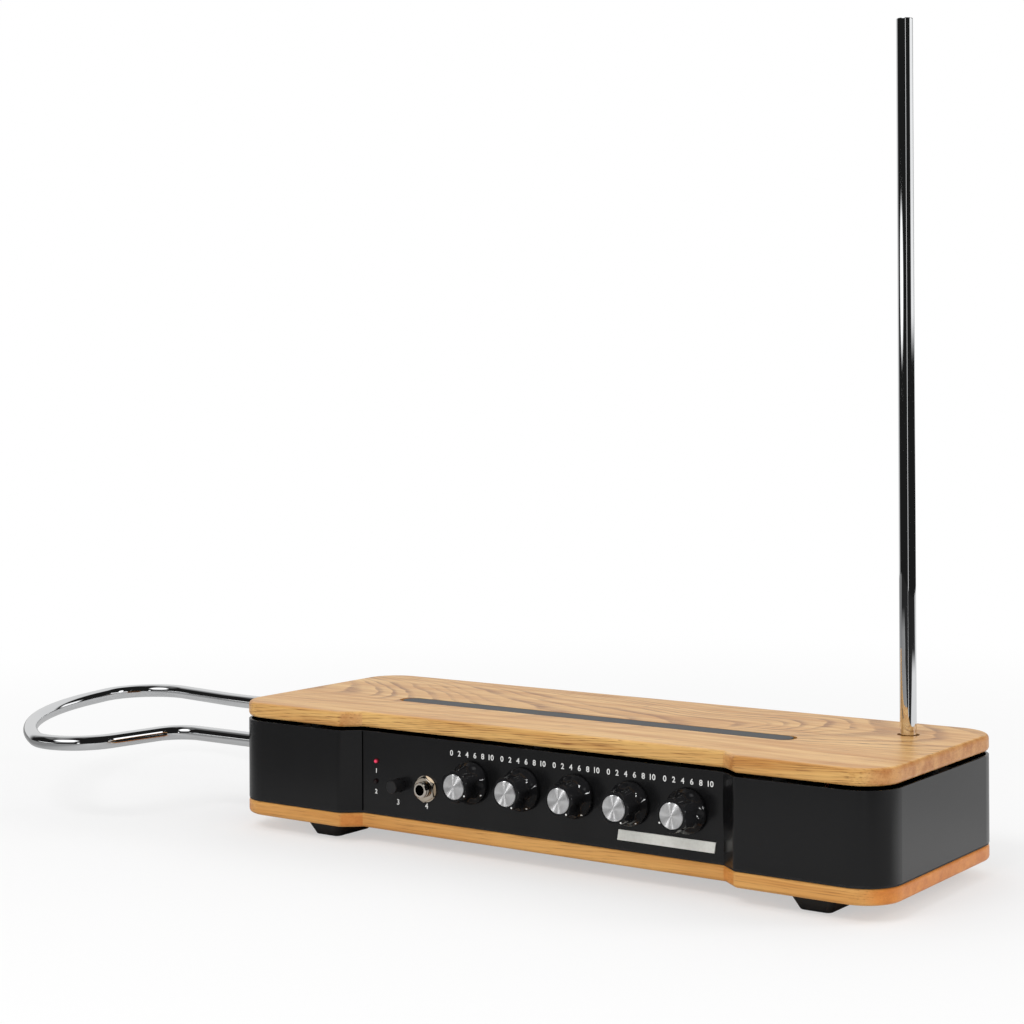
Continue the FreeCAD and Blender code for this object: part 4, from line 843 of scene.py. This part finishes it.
def add_mesh(name, points, faces, material):
    """Object from points in metres, smooth except over sharp edges."""
    mesh = bpy.data.meshes.new(name)
    mesh.from_pydata(points, [], faces)
    mesh.materials.append(material)
    mesh.shade_smooth()
    mesh.set_sharp_from_angle(angle=SHARP_ANGLE)
    piece = bpy.data.objects.new(name, mesh)
    bpy.context.scene.collection.objects.link(piece)
    return piece


def skin(name, rings, material, closed=False):
    """Quads over rings of points; the ends are flat unless the last ring meets the first."""
    sides = len(rings[0])
    points = [point for ring in rings for point in ring]
    faces = []
    for index in range(len(rings) if closed else len(rings) - 1):
        low = index * sides
        high = (index + 1) % len(rings) * sides
        for side in range(sides):
            after = (side + 1) % sides
            faces.append((low + side, low + after, high + after, high + side))
    if not closed:
        faces.append(tuple(reversed(range(sides))))
        faces.append(tuple(range(len(points) - sides, len(points))))
    return add_mesh(name, points, faces, material)


def fine_profile(profile, step):
    """The profile with long stretches divided, so that no stretch is longer than the step."""
    out = [profile[0]]
    for before, after in zip(profile, profile[1:]):
        count = max(1, math.ceil(math.dist(before, after) / step))
        for index in range(1, count + 1):
            share = index / count
            out.append(tuple(a + (b - a) * share for a, b in zip(before, after)))
    return out


def upright_ring(radius, height, sides, place=(0.0, 0.0)):
    """Ring about an upright axis, in metres."""
    ring = []
    for side in range(sides):
        angle = 2 * math.pi * side / sides
        x = place[0] + radius * math.cos(angle)
        y = place[1] + radius * math.sin(angle)
        ring.append((x * MM, y * MM, height * MM))
    return ring


def loop_centres():
    """Points and headings along the loop's centre line, in millimetres and radians."""
    x, y, _ = LOOP_START
    heading = math.pi
    route = [(x + LOOP_ENTRY, y, heading), (x, y, heading)]
    for piece in LOOP_PATH:
        if piece[0] == "straight":
            x += piece[1] * math.cos(heading)
            y += piece[1] * math.sin(heading)
            route.append((x, y, heading))
            continue
        side = 1 if piece[0] == "left" else -1
        radius = piece[1]
        turn = math.radians(piece[2])
        centre_x = x - side * radius * math.sin(heading)
        centre_y = y + side * radius * math.cos(heading)
        steps = math.ceil(max(piece[2] / ARC_STEP, radius * turn / ARC_STRETCH))
        for index in range(1, steps + 1):
            now = heading + side * turn * index / steps
            arc_x = centre_x + side * radius * math.sin(now)
            arc_y = centre_y - side * radius * math.cos(now)
            route.append((arc_x, arc_y, now))
        heading += side * turn
        x, y, _ = route[-1]
    route.append((LOOP_START[0] + LOOP_ENTRY, y, heading))
    return route


def tube_rings(route, radius, height):
    """Rings of a level tube round its centre line."""
    rings = []
    for x, y, heading in route:
        ring = []
        for side in range(TUBE_SIDES):
            angle = 2 * math.pi * side / TUBE_SIDES
            out = radius * math.cos(angle)
            ring.append((
                (x + out * math.sin(heading)) * MM,
                (y - out * math.cos(heading)) * MM,
                (height + radius * math.sin(angle)) * MM,
            ))
        rings.append(ring)
    return rings


def make_volume_loop():
    """The looped antenna, with a finer tube than the solid's."""
    route = loop_centres()
    outside = tube_rings(route, TUBE_RADIUS, LOOP_START[2])
    inside = tube_rings(route, TUBE_BORE, LOOP_START[2])
    loop = skin("loop_tube", outside + list(reversed(inside)), MATERIALS["bright_tube"], closed=True)
    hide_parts("volume_antenna")
    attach(loop, "volume_antenna")


def make_pitch_rod():
    """The upright antenna, with a rounded edge at its top."""
    low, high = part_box("pitch_antenna")
    bottom = low.z / MM
    top = high.z / MM
    wall = fine_profile([(TUBE_RADIUS, bottom + ROD_EDGE), (TUBE_RADIUS, top - 2 * ROD_EDGE)], ROD_STEP)
    profile = [(TUBE_BORE, bottom), (TUBE_RADIUS, bottom)] + wall + [
        (TUBE_RADIUS, top - ROD_EDGE),
        (TUBE_RADIUS - ROD_EDGE * ROD_EDGE_MIDDLE, top - ROD_EDGE * ROD_EDGE_MIDDLE),
        (TUBE_RADIUS - ROD_EDGE, top),
        (TUBE_BORE, top),
    ]
    place = (ROD_PLACE.x / MM, ROD_PLACE.y / MM)
    rings = [upright_ring(radius, height, TUBE_SIDES, place) for radius, height in profile]
    rod = skin("rod_tube", rings, MATERIALS["bright_tube"], closed=True)
    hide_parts("pitch_antenna")
    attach(rod, "pitch_antenna")


def flute_wall(angle, height):
    """Distance from the knob's axis to the nearest flute's wall, or None away from it."""
    pitch = 2 * math.pi / FLUTES
    off = angle % pitch - pitch / 2
    reach = FLUTE_RADIUS ** 2 - max(0.0, FLUTE_BALL - height) ** 2
    inside = reach - (FLUTE_CIRCLE * math.sin(off)) ** 2
    if reach <= 0 or inside <= 0:
        return None
    return FLUTE_CIRCLE * math.cos(off) - math.sqrt(inside)


def soft_min(a, b, softness):
    """Smaller of two lengths with the corner between them rounded."""
    share = max(0.0, 1 - abs(a - b) / (4 * softness))
    return min(a, b) - softness * share * share


def knob_ring(radius, height, turn):
    """One ring of the knob, in metres about the point where its axis meets the panel."""
    ring = []
    for side in range(KNOB_SIDES):
        angle = 2 * math.pi * side / KNOB_SIDES
        wall = flute_wall(angle, height)
        reach = radius if wall is None else soft_min(radius, wall, FLUTE_SOFTNESS)
        reach = max(reach, min(radius, CAP_SEAT_RADIUS))
        turned = angle + turn
        ring.append((reach * math.sin(turned) * MM, -height * MM, reach * math.cos(turned) * MM))
    return ring


def make_knob(name):
    """Knob with softened flutes, turned to its place at rest, and its two dots."""
    turn = math.radians(KNOB_TURNS[name])
    profile = fine_profile(KNOB_PROFILE, KNOB_STEP)
    rings = [knob_ring(radius, height, turn) for radius, height in profile]
    knob = skin("fluted_knob_" + name, rings, MATERIALS["knob_black"])
    low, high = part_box("knob_" + name)
    place = Vector(((low.x + high.x) / 2, PANEL_Y, (low.z + high.z) / 2))
    knob.location = place
    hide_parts("knob_" + name)
    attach(knob, name + "_knob")
    for label, radius, height, lean in DOTS:
        make_dot(label + "_dot_" + name, name, place, turn, radius, height, lean)
    return knob


def make_dot(label, name, place, turn, radius, height, lean):
    """White mark on a knob, leaning outwards with the surface below it."""
    outward = Vector((math.sin(turn), 0, math.cos(turn)))
    facing = Vector((0, -1, 0)) * math.cos(lean) + outward * math.sin(lean)
    rings = [upright_ring(DOT_RADIUS * wide, DOT_HEIGHT * high, DOT_SIDES) for wide, high in DOT_PROFILE]
    dot = skin(label, rings, MATERIALS["white_print"])
    dot.rotation_mode = "QUATERNION"
    dot.rotation_quaternion = facing.to_track_quat("Z", "Y")
    dot.location = place + outward * radius * MM + Vector((0, -height * MM, 0))
    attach(dot, name + "_knob")


# Printed numbers, in millimetres. A digit fills DIGIT_SHARE of its font's size.
DIGIT_SHARE = 0.73
PRINT_HEIGHT = 3.3
PRINT_THICKNESS = 0.04
PRINT_BOLDNESS = 0.07
SCALE_WIDTH = 29.0
SCALE_FOOT = 51.2
SCALE_MARKS = ("0", "2", "4", "6", "8", "10")
# Text, x of its middle, z of its foot, and height.
SMALL_MARKS = (
    ("1", -116.7, 35.0, 2.8),
    ("2", -116.9, 22.2, 2.8),
    ("3", -99.6, 17.2, 3.4),
    ("4", -77.6, 17.2, 3.4),
)


def make_print(name, text, x, z, height):
    """Raised white print on the panel, centred on x with its foot at z."""
    curve = bpy.data.curves.new(name, "FONT")
    curve.body = text
    curve.align_x = "CENTER"
    curve.size = height * MM / DIGIT_SHARE
    curve.extrude = PRINT_THICKNESS * MM
    curve.offset = PRINT_BOLDNESS * MM
    draft = bpy.data.objects.new(name + "_draft", curve)
    mesh = bpy.data.meshes.new_from_object(draft)
    bpy.data.objects.remove(draft)
    bpy.data.curves.remove(curve)
    mesh.name = name
    mesh.materials.clear()
    mesh.materials.append(MATERIALS["white_print"])
    label = bpy.data.objects.new(name, mesh)
    bpy.context.scene.collection.objects.link(label)
    label.rotation_euler.x = math.pi / 2
    label.location = (x * MM, PANEL_Y, z * MM)
    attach(label, "cabinet")


def make_panel_print():
    """A scale of numbers over each knob, and one number beside each small control."""
    for name in KNOB_NAMES:
        middle = KNOB_PLACES[name].x / MM
        for index, text in enumerate(SCALE_MARKS):
            x = middle + SCALE_WIDTH * (index / (len(SCALE_MARKS) - 1) - 0.5)
            make_print("scale_%s_%s" % (name, text), text, x, SCALE_FOOT, PRINT_HEIGHT)
    for text, x, z, height in SMALL_MARKS:
        make_print("mark_" + text, text, x, z, height)


# The gasket is set in from the sheet's faces; its own foot meets the plate's rounded edge.
GASKET_INSET = 0.25
GASKET_FOOT = 9.16
GASKET_PLAY = 0.02
GASKET_WELD = 0.001
FACES_DOWN = -0.9


def make_base_gasket():
    """Black strip that closes the slit between the folded sheet's foot and the bottom plate."""
    shape = bmesh.new()
    shape.from_mesh(NODES["body_wrap"].data)
    shape.transform(NODES["body_wrap"].matrix_world)
    away = []
    for face in shape.faces:
        off_foot = abs(face.calc_center_median().z - SHEET_FOOT * MM)
        if face.normal.z > FACES_DOWN or off_foot > GASKET_PLAY * MM:
            away.append(face)
    bmesh.ops.delete(shape, geom=away, context="FACES")
    bmesh.ops.remove_doubles(shape, verts=shape.verts, dist=GASKET_WELD * MM)
    rim = bmesh.ops.inset_region(shape, faces=shape.faces, thickness=GASKET_INSET * MM,
                                 use_even_offset=True, use_boundary=True)
    bmesh.ops.delete(shape, geom=rim["faces"], context="FACES")
    upper = shape.verts[:]
    bmesh.ops.extrude_face_region(shape, geom=shape.faces[:])
    for point in shape.verts:
        point.co.z = GASKET_FOOT * MM
    for point in upper:
        point.co.z = (SHEET_FOOT - GASKET_PLAY) * MM
    bmesh.ops.recalc_face_normals(shape, faces=shape.faces)
    mesh = bpy.data.meshes.new("base_gasket")
    shape.to_mesh(mesh)
    shape.free()
    mesh.materials.clear()
    mesh.materials.append(MATERIALS["soft_black"])
    gasket = bpy.data.objects.new("base_gasket", mesh)
    bpy.context.scene.collection.objects.link(gasket)
    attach(gasket, "cabinet")


# Root of the recess's left slant, where the sheet is folded. The black bead set there is painted shade for
# the crease's shadow line.
FOLD_PLACE = (-127.7, PANEL_FACE)
FOLD_RADIUS = 0.45
FOLD_SIDES = 16


def make_fold_shadow_line():
    """Painted shade: a black bead in the fold at the left end of the recessed panel, standing in for the
    crease's shadow line.
    """
    heights = (SHEET_FOOT + FOLD_RADIUS, SHEET_TOP - FOLD_RADIUS)
    rings = [upright_ring(FOLD_RADIUS, height, FOLD_SIDES, FOLD_PLACE) for height in heights]
    bead = skin("fold_shadow_line", rings, MATERIALS["fold_black"])
    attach(bead, "cabinet")


# ---- putting it together --------------------------------------------------------------

# Nodes with a finish of their own in place of their slot's.
OWN_FINISH = {"bottom_plate": "oak_base", "phones_jack": "thread_nickel"}

bpy.context.scene.view_settings.view_transform = "Standard"
make_camera()
make_world()
make_floor()
make_softbox("softbox_front", azimuth=-35.0, elevation=44.0, distance=1.9,
             width=1.1, height=0.55, brightness=5.0)
make_softbox("softbox_right", azimuth=85.0, elevation=30.0, distance=1.9,
             width=0.6, height=0.6, brightness=4.5)

MATERIALS = make_materials()
for name, node in NODES.items():
    slot = node.data.materials[0].name
    node.material_slots[0].material = MATERIALS[OWN_FINISH.get(name, slot)]

make_volume_loop()
make_pitch_rod()
KNOBS = [make_knob(name) for name in KNOB_NAMES]
make_panel_print()
make_base_gasket()
make_fold_shadow_line()

CAPS = [NODES["cap_" + name] for name in KNOB_NAMES]
make_softbox("left_glint", azimuth=-90.0, elevation=42.0, distance=1.2,
             width=0.10, height=0.35, brightness=26.0, only=CAPS)
make_softbox("front_glint", azimuth=-35.0, elevation=44.0, distance=1.9,
             width=0.35, height=0.5, brightness=13.0, only=CAPS + KNOBS)
make_softbox("right_glint", azimuth=47.0, elevation=12.0, distance=1.9,
             width=0.9, height=0.45, brightness=38.0, only=KNOBS)
